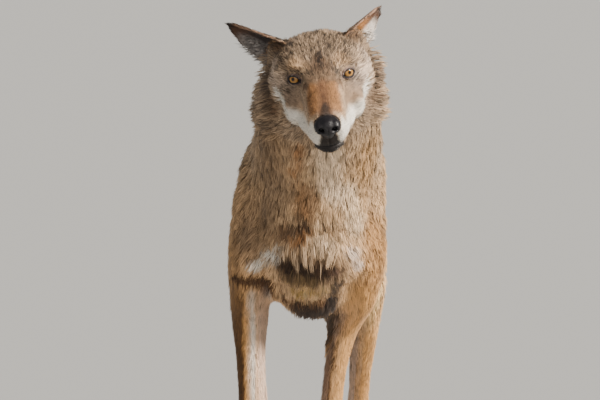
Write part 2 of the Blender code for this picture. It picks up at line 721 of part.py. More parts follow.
def build_head(neck):
    whole = fused("head", head_and_neck, "head")
    nose = build_nose()
    cut_from(whole, swollen(nose), "DIFFERENCE")
    for name, side in SIDES.items():
        place = eye_place(side)
        opening = bmesh.new()
        mass(opening, (0, -0.010, 0), EYE_OPENING, place, fineness=2)
        cut_from(whole, new_object(f"eye_opening_{name}", opening, helper=True), "DIFFERENCE")
        centre = place.to_translation()
        socket = ball(f"socket_{name}", centre, EYE_RADIUS + CUT_GAP * 2, 2, helper=True)
        cut_from(whole, socket, "DIFFERENCE")
        eye = ball(f"eye_{name}", centre, EYE_RADIUS, 2, "eye_amber")
        eye.data.shade_smooth()
    made = parted(whole, "head", HEAD_PLANES, "coat_grey")
    for name, ear in EARS.items():
        shell = ear_shell(f"ear_{name}_rough", ear["base"], ear["tip"], ear["facing"], ear["half_base"])
        finished(shell, f"ear_{name}", "coat_grey", [made, neck])


def stand_on_origin():
    """Parents everything to an empty that puts the origin under the middle of the body's box."""
    bpy.context.view_layer.update()
    shown = [obj for obj in bpy.context.scene.objects if obj.type == "MESH" and not obj.hide_render]
    corners = [vert.co for obj in shown for vert in obj.data.vertices]
    middle_x = (min(c.x for c in corners) + max(c.x for c in corners)) / 2
    middle_y = (min(c.y for c in corners) + max(c.y for c in corners)) / 2
    origin = bpy.data.objects.new("wolf", None)
    bpy.context.scene.collection.objects.link(origin)
    origin.location = (-middle_x, -middle_y, 0)
    for obj in bpy.context.scene.objects:
        if obj is not origin:
            obj.parent = origin


def main():
    clear_scene()
    body = fused("body", whole_body, "body")
    forelegs = [foreleg_planes(side) for side in SIDES.values()]
    hindlegs = [hindleg_planes(side) for side in SIDES.values()]
    neck = parted(body, "neck", [NECK_CUT], "coat_grey", [HEAD_PLANES])
    parted(body, "trunk", [flipped(NECK_CUT), flipped(TAIL_CUT)], "coat_grey", forelegs + hindlegs)
    parted(body, "tail", [TAIL_CUT], "coat_grey")
    build_legs(body)
    build_head(neck)
    stand_on_origin()


main()
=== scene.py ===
"""The looks of a life-size grey wolf in thin summer coat: one skin over the whole body, a coat of solid
tufts that follows the lie of the hair, wet amber eyes in their lids, a moist nose and dark claws.

Lengths are in metres. Places on the head are in the head's own frame: the origin between the eyes, X to
the wolf's left, -Y towards the nose and Z up through the crown.
"""

import math

import bmesh
import bpy
import numpy as np
from mathutils import Matrix, Vector
from mathutils.bvhtree import BVHTree
from mathutils.kdtree import KDTree


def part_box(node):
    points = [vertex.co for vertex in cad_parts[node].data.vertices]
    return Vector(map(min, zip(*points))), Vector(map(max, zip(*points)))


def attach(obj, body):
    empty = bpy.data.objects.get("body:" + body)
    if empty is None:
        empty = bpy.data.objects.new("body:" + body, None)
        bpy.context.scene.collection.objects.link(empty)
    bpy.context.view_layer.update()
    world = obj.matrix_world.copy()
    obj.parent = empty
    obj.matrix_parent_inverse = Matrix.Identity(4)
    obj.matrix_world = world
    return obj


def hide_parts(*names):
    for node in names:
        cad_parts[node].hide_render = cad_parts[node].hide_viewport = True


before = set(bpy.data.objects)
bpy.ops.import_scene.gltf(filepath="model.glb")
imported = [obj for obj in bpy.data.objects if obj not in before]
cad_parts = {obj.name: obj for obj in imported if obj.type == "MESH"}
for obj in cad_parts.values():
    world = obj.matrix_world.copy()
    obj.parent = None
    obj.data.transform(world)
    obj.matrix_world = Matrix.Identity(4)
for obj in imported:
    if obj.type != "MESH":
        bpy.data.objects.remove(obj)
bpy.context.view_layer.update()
RNG = np.random.default_rng(7)
NODES = sorted(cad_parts)
CLAWS = [name for name in NODES if "claw" in name]
FLESH = [name for name in NODES if "claw" not in name and name[:3] != "eye" and name != "nose"]

# The head's frame: it nods and tips, and its eyes sit a little in front of its origin.
HEAD_NOD = math.radians(27)
EYE_FORWARD = 0.0095
EYE_RAISED = 0.0020
EYE_OUTWARD = math.radians(30)
EYE_LIFT = math.radians(18)
EYE_SLANT = math.radians(4)
EYE_RADIUS = 0.0120

# Half sizes of the opening between the lids, how thick the lids are and how wide their bare rims.
OPENING_HALF = 0.0084
OPENING_INNER = 0.0100
OPENING_RISE = 0.0042
OPENING_DROP = 0.0047
LID_THICK = 0.0013
LID_RIM = 0.0024
# How far behind the front of the eyeball the skin lies in the opening.
SOCKET_GAP = 0.0035

# Linear colours of the coat and the bare skin, from pale to dark.
WHITE = (0.95, 0.88, 0.78)
STREAK = (0.94, 0.84, 0.74)
BUTTER = (0.90, 0.70, 0.51)
BLUSH = (0.84, 0.64, 0.52)
CREAM = (0.82, 0.62, 0.43)
PALE = (0.72, 0.58, 0.48)
TAN = (0.72, 0.40, 0.180)
STRAW = (0.64, 0.46, 0.25)
SAND = (0.60, 0.40, 0.23)
BUFF = (0.56, 0.38, 0.235)
FAWN = (0.56, 0.37, 0.225)
EAR_EDGE = (0.54, 0.34, 0.235)
HONEY = (0.43, 0.26, 0.130)
COPPER = (0.41, 0.220, 0.098)
GRIZZLE = (0.37, 0.265, 0.18)
GOLD = (0.36, 0.235, 0.085)
SORREL = (0.31, 0.155, 0.072)
ASH = (0.29, 0.205, 0.145)
RUFOUS = (0.27, 0.125, 0.052)
DRAB = (0.20, 0.128, 0.080)
MAUVE = (0.20, 0.13, 0.125)
RUSSET = (0.19, 0.095, 0.042)
CHESTNUT = (0.19, 0.093, 0.048)
SHADE_UMBER = (0.17, 0.112, 0.070)
TAUPE = (0.15, 0.095, 0.060)
OLIVE = (0.13, 0.085, 0.038)
WALNUT = (0.13, 0.072, 0.040)
EAR_DEPTH = (0.10, 0.05, 0.03)
COCOA = (0.085, 0.038, 0.016)
BARK = (0.080, 0.046, 0.032)
BROWN = (0.075, 0.035, 0.016)
SOOT = (0.040, 0.028, 0.022)
PITCH = (0.035, 0.016, 0.007)
HOLLOW = (0.030, 0.013, 0.005)
BLACK = (0.014, 0.011, 0.010)
BARE = (0.014, 0.010, 0.010)
BREAST_TIPS = (0.60, 0.41, 0.25)
BRISKET_TIPS = (0.50, 0.36, 0.19)


def middle(node):
    low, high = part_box(node)
    return (low + high) / 2


def head_matrix():
    """The head's frame, found from the eyes."""
    left, right = middle("eye_left"), middle("eye_right")
    level = (left - right).normalized()
    tip = -math.atan2(level.z, level.x)
    turn = Matrix.Rotation(tip, 3, "Y") @ Matrix.Rotation(HEAD_NOD, 3, "X")
    origin = (left + right) / 2 - turn @ Vector((0, -EYE_FORWARD, EYE_RAISED))
    return Matrix.Translation(origin) @ turn.to_4x4()


HEAD = head_matrix()
HEAD_TURN = np.array(HEAD.to_3x3())
HEAD_AT = np.array(HEAD.translation)


def in_head(points):
    """Points of the body's frame, in the head's frame."""
    return (points - HEAD_AT) @ HEAD_TURN


def from_head(directions):
    """Directions of the head's frame, in the body's frame."""
    return directions @ HEAD_TURN.T


def mirrored(head):
    """Places on the head, those on its right side moved over to its left."""
    return head * np.where(head[:, [0]] < 0, np.array([-1, 1, 1]), 1)


def eye_matrix(side):
    """The frame of an eye: its ball at the origin, its gaze along -Y, its outer corner raised."""
    place = middle("eye_left" if side > 0 else "eye_right")
    turn = (HEAD.to_3x3() @ Matrix.Rotation(side * EYE_OUTWARD, 3, "Z")
            @ Matrix.Rotation(-EYE_LIFT, 3, "X") @ Matrix.Rotation(-side * EYE_SLANT, 3, "Y"))
    return Matrix.Translation(place) @ turn.to_4x4()


# Small helpers.


def unit(vectors):
    return vectors / np.maximum(np.linalg.norm(vectors, axis=1, keepdims=True), 1e-9)


def dot(a, b):
    return (a * b).sum(1)


def ramp(value, start, end):
    """0 at start, 1 at end, smooth between; start may be the larger."""
    t = np.clip((value - start) / (end - start), 0, 1)
    return t * t * (3 - 2 * t)


def mix(a, b, share):
    return a + (b - a) * share


def ridge(value, centre, width):
    """1 at the centre, fading smoothly to either side; about a third is left at this width."""
    return np.exp(-((value - centre) / width) ** 2)


def coordinates(mesh):
    co = np.empty(len(mesh.vertices) * 3, np.float32)
    mesh.vertices.foreach_get("co", co)
    return co.reshape(-1, 3).astype(float)


def set_coordinates(mesh, points):
    mesh.vertices.foreach_set("co", points.astype(np.float32).ravel())
    mesh.update()


def vertex_normals(mesh):
    normals = np.empty(len(mesh.vertices) * 3, np.float32)
    mesh.vertex_normals.foreach_get("vector", normals)
    return normals.reshape(-1, 3).astype(float)


def triangle_corners(mesh):
    mesh.calc_loop_triangles()
    corners = np.empty(len(mesh.loop_triangles) * 3, np.int32)
    mesh.loop_triangles.foreach_get("vertices", corners)
    return corners.reshape(-1, 3)


def edge_ends(mesh):
    ends = np.empty(len(mesh.edges) * 2, np.int32)
    mesh.edges.foreach_get("vertices", ends)
    return ends.reshape(-1, 2)


def spread(values, edges, rounds, share=0.5):
    """Values at vertices, evened out along the mesh's edges."""
    values = np.array(values, float)
    flat = values.reshape(len(values), -1)
    count = np.bincount(edges.ravel(), minlength=len(flat)).clip(1)[:, None]
    for _ in range(rounds):
        total = np.zeros_like(flat)
        for column in range(flat.shape[1]):
            total[:, column] = (np.bincount(edges[:, 0], flat[edges[:, 1], column], len(flat))
                                + np.bincount(edges[:, 1], flat[edges[:, 0], column], len(flat)))
        flat = mix(flat, total / count, share)
    return flat.reshape(values.shape)


def value_noise(points, size, seed):
    """Smooth noise from -1 to 1 with blotches about this size across."""
    at = points / size
    cell = np.floor(at)
    share = at - cell
    share = share * share * (3 - 2 * share)
    total = np.zeros(len(points))
    for corner in range(8):
        step = np.array([corner & 1, corner >> 1 & 1, corner >> 2 & 1])
        wave = np.sin((cell + step) @ np.array([127.1, 311.7, 74.7]) + seed * 19.19) * 43758.5453
        weight = np.prod(np.where(step, share, 1 - share), axis=1)
        total += weight * (wave - np.floor(wave))
    return 2 * total - 1


# Objects and modifiers, as by hand.


def select_only(*objects):
    bpy.ops.object.select_all(action="DESELECT")
    for obj in objects:
        obj.select_set(True)
    bpy.context.view_layer.objects.active = objects[-1]


def smooth_shaded(obj):
    select_only(obj)
    bpy.ops.object.shade_smooth()


def apply_modifier(obj, kind, **settings):
    select_only(obj)
    modifier = obj.modifiers.new(kind.title(), kind)
    for name, value in settings.items():
        setattr(modifier, name, value)
    bpy.ops.object.modifier_apply(modifier=modifier.name)


def store(attributes, name, kind, values):
    """A new attribute on a mesh's points, from its values."""
    layer = attributes.new(name, kind, "POINT")
    layer.data.foreach_set("color" if "COLOR" in kind else "vector", values.astype(np.float32).ravel())


def linked(name, mesh):
    obj = bpy.data.objects.new(name, mesh)
    bpy.context.scene.collection.objects.link(obj)
    return obj


def merged_copy(name, nodes, grow, merge=1e-5):
    """One object of the CAD nodes' shapes, each moved out by `grow`."""
    whole = bmesh.new()
    for node in nodes:
        part = bmesh.new()
        part.from_mesh(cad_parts[node].data)
        bmesh.ops.remove_doubles(part, verts=part.verts, dist=merge)
        part.normal_update()
        for vert in part.verts:
            vert.co += vert.normal * grow
        mesh = bpy.data.meshes.new(name)
        part.to_mesh(mesh)
        part.free()
        whole.from_mesh(mesh)
        bpy.data.meshes.remove(mesh)
    mesh = bpy.data.meshes.new(name)
    whole.to_mesh(mesh)
    whole.free()
    return linked(name, mesh)


# The skin's shape.

SKIN_VOXEL = 0.0022
SKIN_GROW = 0.0006
EAR_GROW = 0.0012
BODY_TRIANGLES = 24000
TOES_TOP = 0.028
JAW_LOW = -0.115
CHEEK_BACK = 0.055
EAR_BACK = 0.110
# The skin sinks in by no more than this share of the flesh's thickness, by less beside the nose, and in
# a few steps.
DEEPEST_SHARE = 0.30
NOSE_DEPTH = 0.0003
SINK_STEPS = 4
# Over how many rounds along the mesh's edges the parts of the coat blend into each other.
BLEND_ROUNDS = 50


def rough_skin():
    """The flesh and the eyes fused into one closed surface, finest on the head and the toes."""
    ears = [name for name in FLESH if name.startswith("ear")]
    others = [name for name in FLESH if name not in ears] + ["eye_left", "eye_right"]
    body = merged_copy("skin", others, SKIN_GROW)
    thin = merged_copy("ears", ears, EAR_GROW)
    select_only(thin, body)
    bpy.ops.object.join()
    apply_modifier(body, "REMESH", mode="VOXEL", voxel_size=SKIN_VOXEL)
    points = coordinates(body.data)
    head = in_head(points)
    # The body is thinned out: all below the jaw and behind the cheeks and ears, apart from the toes.
    coarse = (head[:, 2] < JAW_LOW) | (head[:, 1] > EAR_BACK)
    coarse |= (head[:, 1] > CHEEK_BACK) & (head[:, 2] < 0)
    coarse &= points[:, 2] > TOES_TOP
    thinned = body.vertex_groups.new(name="thinned")
    thinned.add(np.flatnonzero(coarse).tolist(), 1.0, "REPLACE")
    total = 2 * len(body.data.polygons)
    kept = total * (1 - coarse.mean())
    apply_modifier(body, "DECIMATE", ratio=(kept + BODY_TRIANGLES) / total, vertex_group="thinned")
    body.vertex_groups.clear()
    return body


def nearest_nodes(points):
    """The index in FLESH of the CAD node nearest to each point."""
    corners, faces, owners = [], [], []
    for index, name in enumerate(FLESH):
        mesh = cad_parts[name].data
        triangles = triangle_corners(mesh) + sum(len(c) for c in corners)
        corners.append(coordinates(mesh))
        faces.append(triangles)
        owners += [index] * len(triangles)
    tree = BVHTree.FromPolygons(np.concatenate(corners).tolist(), np.concatenate(faces).tolist())
    return np.array([owners[tree.find_nearest(point)[2]] for point in points.tolist()])


# What grows where. For each part of the coat: its depth, the tufts' length and width, how many there
# are to a square centimetre, how wide its locks are, how strongly they draw together, and how far the
# tips rise, as a share of the depth.
COAT = {
    "muzzle": (0.0012, 0.0060, 0.00080, 100, 0.0028, 0.15, 0.9),
    "brow": (0.0034, 0.0100, 0.00095, 88, 0.0042, 0.45, 1.2),
    "cheek": (0.0060, 0.0180, 0.00115, 54, 0.0055, 0.45, 0.9),
    "ear": (0.0009, 0.0070, 0.00085, 60, 0.0035, 0.15, 0.8),
    "throat": (0.0100, 0.0250, 0.00115, 58, 0.0060, 0.50, 0.8),
    "neck": (0.0115, 0.0280, 0.00130, 37, 0.0070, 0.50, 0.8),
    "back": (0.0120, 0.0380, 0.00190, 17, 0.0105, 0.50, 0.8),
    "side": (0.0095, 0.0330, 0.00180, 15, 0.0100, 0.45, 0.8),
    "belly": (0.0085, 0.0300, 0.00180, 13, 0.0100, 0.55, 0.8),
    "shoulder": (0.0070, 0.0200, 0.00120, 42, 0.0062, 0.40, 0.8),
    "thigh": (0.0075, 0.0260, 0.00170, 17, 0.0085, 0.45, 0.8),
    "forearm": (0.0026, 0.0110, 0.00110, 34, 0.0046, 0.25, 0.9),
    "shank": (0.0028, 0.0130, 0.00130, 26, 0.0052, 0.25, 0.9),
    "paw": (0.0020, 0.0085, 0.00110, 27, 0.0042, 0.20, 0.9),
    "tail": (0.0150, 0.0420, 0.00200, 20, 0.0105, 0.50, 0.9),
}
DEPTH, LENGTH, WIDTH, DENSITY, LOCK_SIZE, PULL, LIFT = range(7)
PARTS = list(COAT)
PART_OF_NODE = {
    "head": "cheek", "ear": "ear", "neck": "neck", "trunk": "side", "tail": "tail",
    "shoulder": "shoulder", "forearm": "forearm", "paw": "paw",
    "thigh": "thigh", "shank": "shank", "foot": "paw",
}
ELBOW_HAIR_END = 0.415
KNEE_HAIR_END = 0.330
BREAST_BACK = -0.25
FACES_FORWARD = 0.35
FACES_UP = 0.55


def part_of_node(name):
    words = name.split("_")
    return PART_OF_NODE.get(words[0]) or PART_OF_NODE[words[-1]]


def coat_parts(points, normals, nodes):
    """Which part of the coat each point belongs to."""
    by_node = np.array([PARTS.index(part_of_node(name)) for name in FLESH])
    parts = by_node[nodes]
    head = in_head(points)
    head_normal = normals @ HEAD_TURN

    def repaint(old, new, where):
        parts[(parts == PARTS.index(old)) & where] = PARTS.index(new)

    # The muzzle starts in front of the eyes; the brow is what faces up above them, and what lies between.
    repaint("cheek", "muzzle", (head[:, 1] < -0.036) | ((head[:, 1] < -0.020) & (head[:, 2] < -0.008)))
    repaint("cheek", "brow", (head_normal[:, 2] > 0.25) & (head[:, 2] > 0.0) | (head[:, 1] < -0.010))
    repaint("neck", "throat", normals[:, 1] < -FACES_FORWARD)
    repaint("side", "throat", (normals[:, 1] < -FACES_FORWARD) & (points[:, 1] < BREAST_BACK))
    repaint("side", "back", normals[:, 2] > FACES_UP)
    repaint("side", "belly", normals[:, 2] < -FACES_UP)
    repaint("shoulder", "forearm", points[:, 2] < ELBOW_HAIR_END)
    repaint("thigh", "shank", points[:, 2] < KNEE_HAIR_END)
    return parts


class Places:
    """Points on the skin, with what the coat needs to know about each."""

    def __init__(self, points, normals, shares, nodes):
        self.points = points
        self.normals = normals
        self.shares = shares
        self.nodes = nodes
        self.head = in_head(points)
        self.head_normals = normals @ HEAD_TURN

    def share(self, *parts):
        return self.shares[:, [PARTS.index(part) for part in parts]].sum(1)

    def on(self, *names):
        return np.isin(self.nodes, [FLESH.index(name) for name in names])


class Skin(Places):
    """The skin's mesh as arrays, with what grows on it."""

    def __init__(self, obj):
        self.obj = obj
        mesh = obj.data
        points = coordinates(mesh)
        normals = vertex_normals(mesh)
        self.edges = edge_ends(mesh)
        self.triangles = triangle_corners(mesh)
        nodes = nearest_nodes(points)
        self.parts = coat_parts(points, normals, nodes)
        shares = spread(np.eye(len(PARTS))[self.parts], self.edges, BLEND_ROUNDS)
        super().__init__(points, normals, shares, nodes)
        self.coat = shares @ np.array([COAT[part] for part in PARTS])

    def move_to(self, points):
        set_coordinates(self.obj.data, points)
        super().__init__(points, vertex_normals(self.obj.data), self.shares, self.nodes)


def thickness(skin):
    """How thick the flesh is behind each vertex, up to a limit."""
    tree = BVHTree.FromPolygons(skin.points.tolist(), skin.triangles.tolist())
    limit, start = 0.08, 0.0004
    found = np.full(len(skin.points), limit)
    inward = -skin.normals
    starts = skin.points + inward * start
    for i, (at, way) in enumerate(zip(starts.tolist(), inward.tolist())):
        hit = tree.ray_cast(at, way, limit)
        if hit[0] is not None:
            found[i] = hit[3]
    return found


def sink_by_coat(skin):
    """Moves the skin in by the coat's depth, so that the tufts' tips end at the solids' surface."""
    depth = skin.coat[:, DEPTH] + mix(SKIN_GROW, EAR_GROW, skin.share("ear"))
    depth = np.minimum(depth, DEEPEST_SHARE * thickness(skin))
    depth *= ramp(skin.points[:, 2], 0.001, 0.014)
    depth = mix(depth, NOSE_DEPTH, ramp(skin.nose_gap, 0.0045, 0.0015))
    depth = spread(depth, skin.edges, 3)
    skin.depth = depth
    for _ in range(SINK_STEPS):
        skin.move_to(skin.points - skin.normals * (depth / SINK_STEPS)[:, None])
        smooth = spread(skin.points, skin.edges, 2, 0.3)
        free = ramp(skin.points[:, 2], 0.004, 0.02) * (1 - skin.share("ear"))
        free = free * (1 - 0.8 * skin.share("paw"))
        skin.move_to(mix(skin.points, smooth, free[:, None]))


def part_toes(skin):
    """Deepens the creases between the toes, and notes how deep in a crease each vertex lies."""
    even = spread(skin.points, skin.edges, 16)
    deep = dot(even - skin.points, skin.normals)
    paws = skin.share("paw") * ramp(skin.points[:, 2], 0.005, 0.014) * ramp(skin.points[:, 2], 0.075, 0.055)
    shift = np.clip(deep, -0.0006, 0.0022) * 1.3 * paws
    skin.move_to(skin.points - skin.normals * shift[:, None])
    # How deep in a crease each vertex lies, where shade is painted on the skin.
    skin.crease = ramp(spread(deep, skin.edges, 1), 0.0004, 0.0018) * paws


def refine(obj, chosen):
    """Halves the edges between chosen vertices."""
    shape = bmesh.new()
    shape.from_mesh(obj.data)
    edges = [edge for edge in shape.edges if all(chosen[vert.index] for vert in edge.verts)]
    bmesh.ops.subdivide_edges(shape, edges=edges, cuts=1, use_grid_fill=True)
    bmesh.ops.triangulate(shape, faces=[face for face in shape.faces if len(face.verts) > 4])
    shape.to_mesh(obj.data)
    shape.free()


def refine_face(obj):
    """Finer meshes for the face, where the lips are carved, and finer still round the eyes and along
    the lids' edges."""
    head = in_head(coordinates(obj.data))
    refine(obj, (head[:, 1] < 0.004) & (head[:, 2] > -0.085) & (head[:, 2] < 0.030))
    for reach, inner, outer in ((0.0160, -1.0, 1.0), (0.0180, -0.0016, 0.0030)):
        points = coordinates(obj.data)
        near = np.zeros(len(points), bool)
        for side in (1, -1):
            local = eye_place(points, side)
            edge = opening_edge(unit(local) * (EYE_RADIUS + LID_THICK))
            near |= ((np.linalg.norm(local, axis=1) < reach) & (local[:, 1] < 0.002)
                     & (edge > inner) & (edge < outer))
        refine(obj, near)


# The face: lids and lips.


def eye_place(points, side):
    """Points in the frame of an eye, with X mirrored so that it grows towards the outer corner."""
    matrix = eye_matrix(side)
    local = (points - np.array(matrix.translation)) @ np.array(matrix.to_3x3())
    return local * np.array([side, 1, 1])


def opening_edge(local):
    """How far outside the opening between the lids each point is, seen along the gaze."""
    across, up = local[:, 0], local[:, 2]
    # The inner corner is drawn out, and dips a little below the middle.
    half = np.where(across < 0, OPENING_INNER, OPENING_HALF)
    share = np.clip(np.abs(across) / half, 0, 1)
    lean = up + 0.10 * across + 0.0014 * share ** 2 * (across < 0)
    bow = (1 - share ** 2) ** 0.72
    above = lean - OPENING_RISE * bow
    below = -lean - OPENING_DROP * bow
    past = np.abs(across) - half
    return np.maximum(np.maximum(above, below), past)


def carve_eye(skin, side):
    """Lays the lids over the eyeball and opens them."""
    local = eye_place(skin.points, side)
    radius = np.linalg.norm(local, axis=1)
    off_axis = np.linalg.norm(local[:, [0, 2]] * np.array([0.85, 1.0]), axis=1)
    near = (local[:, 1] < 0.004) & (radius < 0.034)
    # Over the ball the skin lies a lid's thickness off it; further out it keeps its own shape.
    hug = ramp(off_axis, 0.0175, 0.0100) * near
    laid = mix(radius, EYE_RADIUS + LID_THICK, hug)
    local = local * (laid / radius)[:, None]
    edge = opening_edge(local)
    upper = ramp(local[:, 2], -0.001, 0.002)
    lid = EYE_RADIUS + LID_THICK
    lid = lid + 0.0007 * ridge(edge, 0.0010, 0.0012)
    # The upper lid has a fold with a roll above it, and the lower one a soft bag.
    lid = lid - 0.0010 * ridge(edge, 0.0046, 0.0009) * upper
    lid = lid + 0.0010 * ridge(edge, 0.0068, 0.0016) * upper
    lid = lid - 0.0006 * ridge(edge, 0.0046, 0.0012) * (1 - upper)
    open_share = ramp(edge, 0.0002, -0.0005)
    wanted = mix(radius, lid, hug)
    wanted = mix(wanted, EYE_RADIUS - SOCKET_GAP, open_share * near)
    centre = np.array(eye_matrix(side).translation)
    skin.move_to(skin.points + unit(skin.points - centre) * (wanted - radius)[:, None])
    return np.where(near, edge, 1.0)


# The line of the closed mouth from the front to its corner: how far forward on the head, and how high.
LIP_LINE = [(0.126, -0.0505), (0.117, -0.0530), (0.105, -0.0545), (0.090, -0.0562), (0.070, -0.0570),
            (0.050, -0.0572), (0.034, -0.0560), (0.020, -0.0530)]
MOUTH_CORNER = 0.022


def lip_offset(head):
    """Height above the line of the closed mouth."""
    forward = -head[:, 1]
    order = LIP_LINE[::-1]
    return head[:, 2] - np.interp(forward, [p[0] for p in order], [p[1] for p in order])


def carve_mouth(skin):
    """The line of the mouth with a lip above and below it, and the groove under the nose."""
    head = skin.head
    forward = -head[:, 1]
    offset = lip_offset(head)
    along = ramp(forward, MOUTH_CORNER - 0.006, MOUTH_CORNER + 0.008) * (head[:, 2] < -0.03)
    along = along * (skin.normals @ HEAD_TURN[:, 2] < 0.75)
    groove = 0.0026 * ridge(offset, 0.0, 0.0013)
    lip = 0.0014 * ridge(offset, 0.0042, 0.0032)
    under = 0.0008 * ridge(offset, -0.0035, 0.0028)
    middle_groove = 0.0016 * ridge(head[:, 0], 0.0, 0.0011) * ramp(offset, 0.0, 0.002)
    middle_groove = middle_groove * (head[:, 1] < -0.105) * (head[:, 2] < -0.02)
    shift = (lip + under - groove) * along - middle_groove
    skin.move_to(skin.points + skin.normals * shift[:, None])


# Where the hair points.

NOSE_TIP = np.array([0.0, -0.1400, -0.0180])


def combed(skin):
    """The lie of the hair at every vertex: along the head from the nose, back and down the body, down
    the legs and out along the ears and the tail."""
    points, normals, head = skin.points, skin.normals, skin.head
    ones = np.ones(len(points))
    up = normals[:, 2]
    front = np.clip(-normals[:, 1], 0, 1)
    side_of = np.sign(points[:, 0])
    neck_side = np.sign(points[:, 0] - HEAD_AT[0])

    from_nose = head - NOSE_TIP
    from_nose[:, 2] -= 0.35 * np.clip(-from_nose[:, 2] - 0.02, 0, None)
    on_head = from_head(unit(from_nose))
    parting = 0.14 + 1.10 * ramp(np.abs(points[:, 0]), 0.025, 0.065) * ramp(points[:, 2], 0.53, 0.48)
    over_toes = ramp(points[:, 2], 0.060, 0.025)
    hang = ramp(points[:, 2], 0.590, 0.400)
    still = 0 * ones
    down = np.stack([still, 0.05 * ones, -ones], 1)
    by_part = {
        "muzzle": on_head,
        "brow": on_head,
        "cheek": on_head,
        "ear": ear_way(skin),
        "neck": np.stack([0.12 * neck_side, 0.62 + 0.30 * up, -0.85 + 0.30 * up], 1),
        "throat": np.stack([parting * neck_side, 0.10 * ones, -ones], 1),
        "back": np.stack([0.05 * side_of, ones, -0.10 * ones], 1),
        "side": np.stack([still, 0.88 * ones, -0.50 * ones], 1),
        "belly": np.stack([-0.15 * side_of, ones, -0.25 * ones], 1),
        "shoulder": np.stack([0.12 * side_of, 0.42 - 0.30 * front, -0.90 * ones], 1),
        "thigh": np.stack([still, 0.55 * ones, -0.85 * ones], 1),
        "forearm": down,
        "shank": down,
        "paw": np.stack([still, -over_toes, -1 + 0.55 * over_toes], 1),
        "tail": np.stack([still, 0.95 - 0.70 * hang, -0.30 - 0.65 * hang], 1),
    }
    way = sum(unit(by_part[part]) * skin.shares[:, [index]] for index, part in enumerate(PARTS))
    way = spread(along_skin(way, normals), skin.edges, 8)
    for side in (1, -1):
        # Beside an eye the hair parts and runs round it.
        away = along_skin(points - np.array(eye_matrix(side).translation), normals)
        toward = np.minimum(dot(way, away), 0) - 0.25
        near = ramp(skin.eye_edge, 0.012, 0.004) * (side * head[:, 0] > 0)
        way = way - away * (toward * near)[:, None]
    return along_skin(way, normals)


def along_skin(ways, normals):
    """Directions laid flat on the skin."""
    return unit(ways - normals * dot(ways, normals)[:, None])


class Ear:
    """An ear's own directions: along it from base to tip, across it towards its upper edge, and out of
    its hollow. Its long hairs grow from the base to `fringe_end` along it, up to `fringe_top` across
    it, and are this long. Then the colours of its hollow and of those hairs."""

    def __init__(self, node, side, base, tip, facing, half_base, fringe_end, fringe_top, fringe_length,
                 hollow, hairs):
        self.node = node
        self.base = np.array(base)
        self.along = np.array(tip) - self.base
        self.length = np.linalg.norm(self.along)
        self.along = self.along / self.length
        self.facing = np.array(facing) / np.linalg.norm(facing)
        self.across = -side * np.cross(self.along, self.facing)
        self.half_base = half_base
        self.fringe_end = fringe_end
        self.fringe_top = fringe_top
        self.fringe_length = fringe_length
        self.hollow = hollow
        self.hairs = hairs

    def place(self, head):
        """How far along the ear, and how far across it from -1 to 1, each point is."""
        share = (head - self.base) @ self.along / self.length
        half = self.half_base * np.clip(1 - share, 0.15, 1)
        return share, (head - self.base) @ self.across / half


EARS = (
    Ear(node="ear_left", side=1, base=(0.055, 0.050, 0.015), tip=(0.088, 0.102, 0.0445),
        facing=(0.93, -0.34, -0.10), half_base=0.032, fringe_end=0.46, fringe_top=-0.50,
        fringe_length=0.014, hollow=(0.34, 0.160, 0.066), hairs=(0.84, 0.75, 0.66)),
    # The right ear's dark hollow and grey hairs are partly their own colours, partly painted shade.
    Ear(node="ear_right", side=-1, base=(-0.060, 0.052, 0.009), tip=(-0.118, 0.098, 0.052),
        facing=(-0.45, -0.78, -0.40), half_base=0.039, fringe_end=0.55, fringe_top=-0.20,
        fringe_length=0.013, hollow=(0.046, 0.032, 0.027), hairs=(0.38, 0.34, 0.32)),
)


def ear_way(skin):
    way = from_head(unit(skin.head - NOSE_TIP))
    for ear in EARS:
        way[skin.on(ear.node)] = from_head(ear.along)
    return way


# Markings.


def stroke(points, path, soft=0.55):
    """1 along an airbrush's path of places and radii, fading to 0 past its edge."""
    path = np.array(path, float)
    nearest = np.full(len(points), 9.0)
    for start, end in zip(path[:-1], path[1:]) if len(path) > 1 else ((path[0], path[0]),):
        run = end[:3] - start[:3]
        share = np.clip((points - start[:3]) @ run / max(run @ run, 1e-12), 0, 1)
        away = np.linalg.norm(points - start[:3] - share[:, None] * run, axis=1)
        nearest = np.minimum(nearest, away / mix(start[3], end[3], share))
    return ramp(nearest, 1 + soft, 1 - soft)


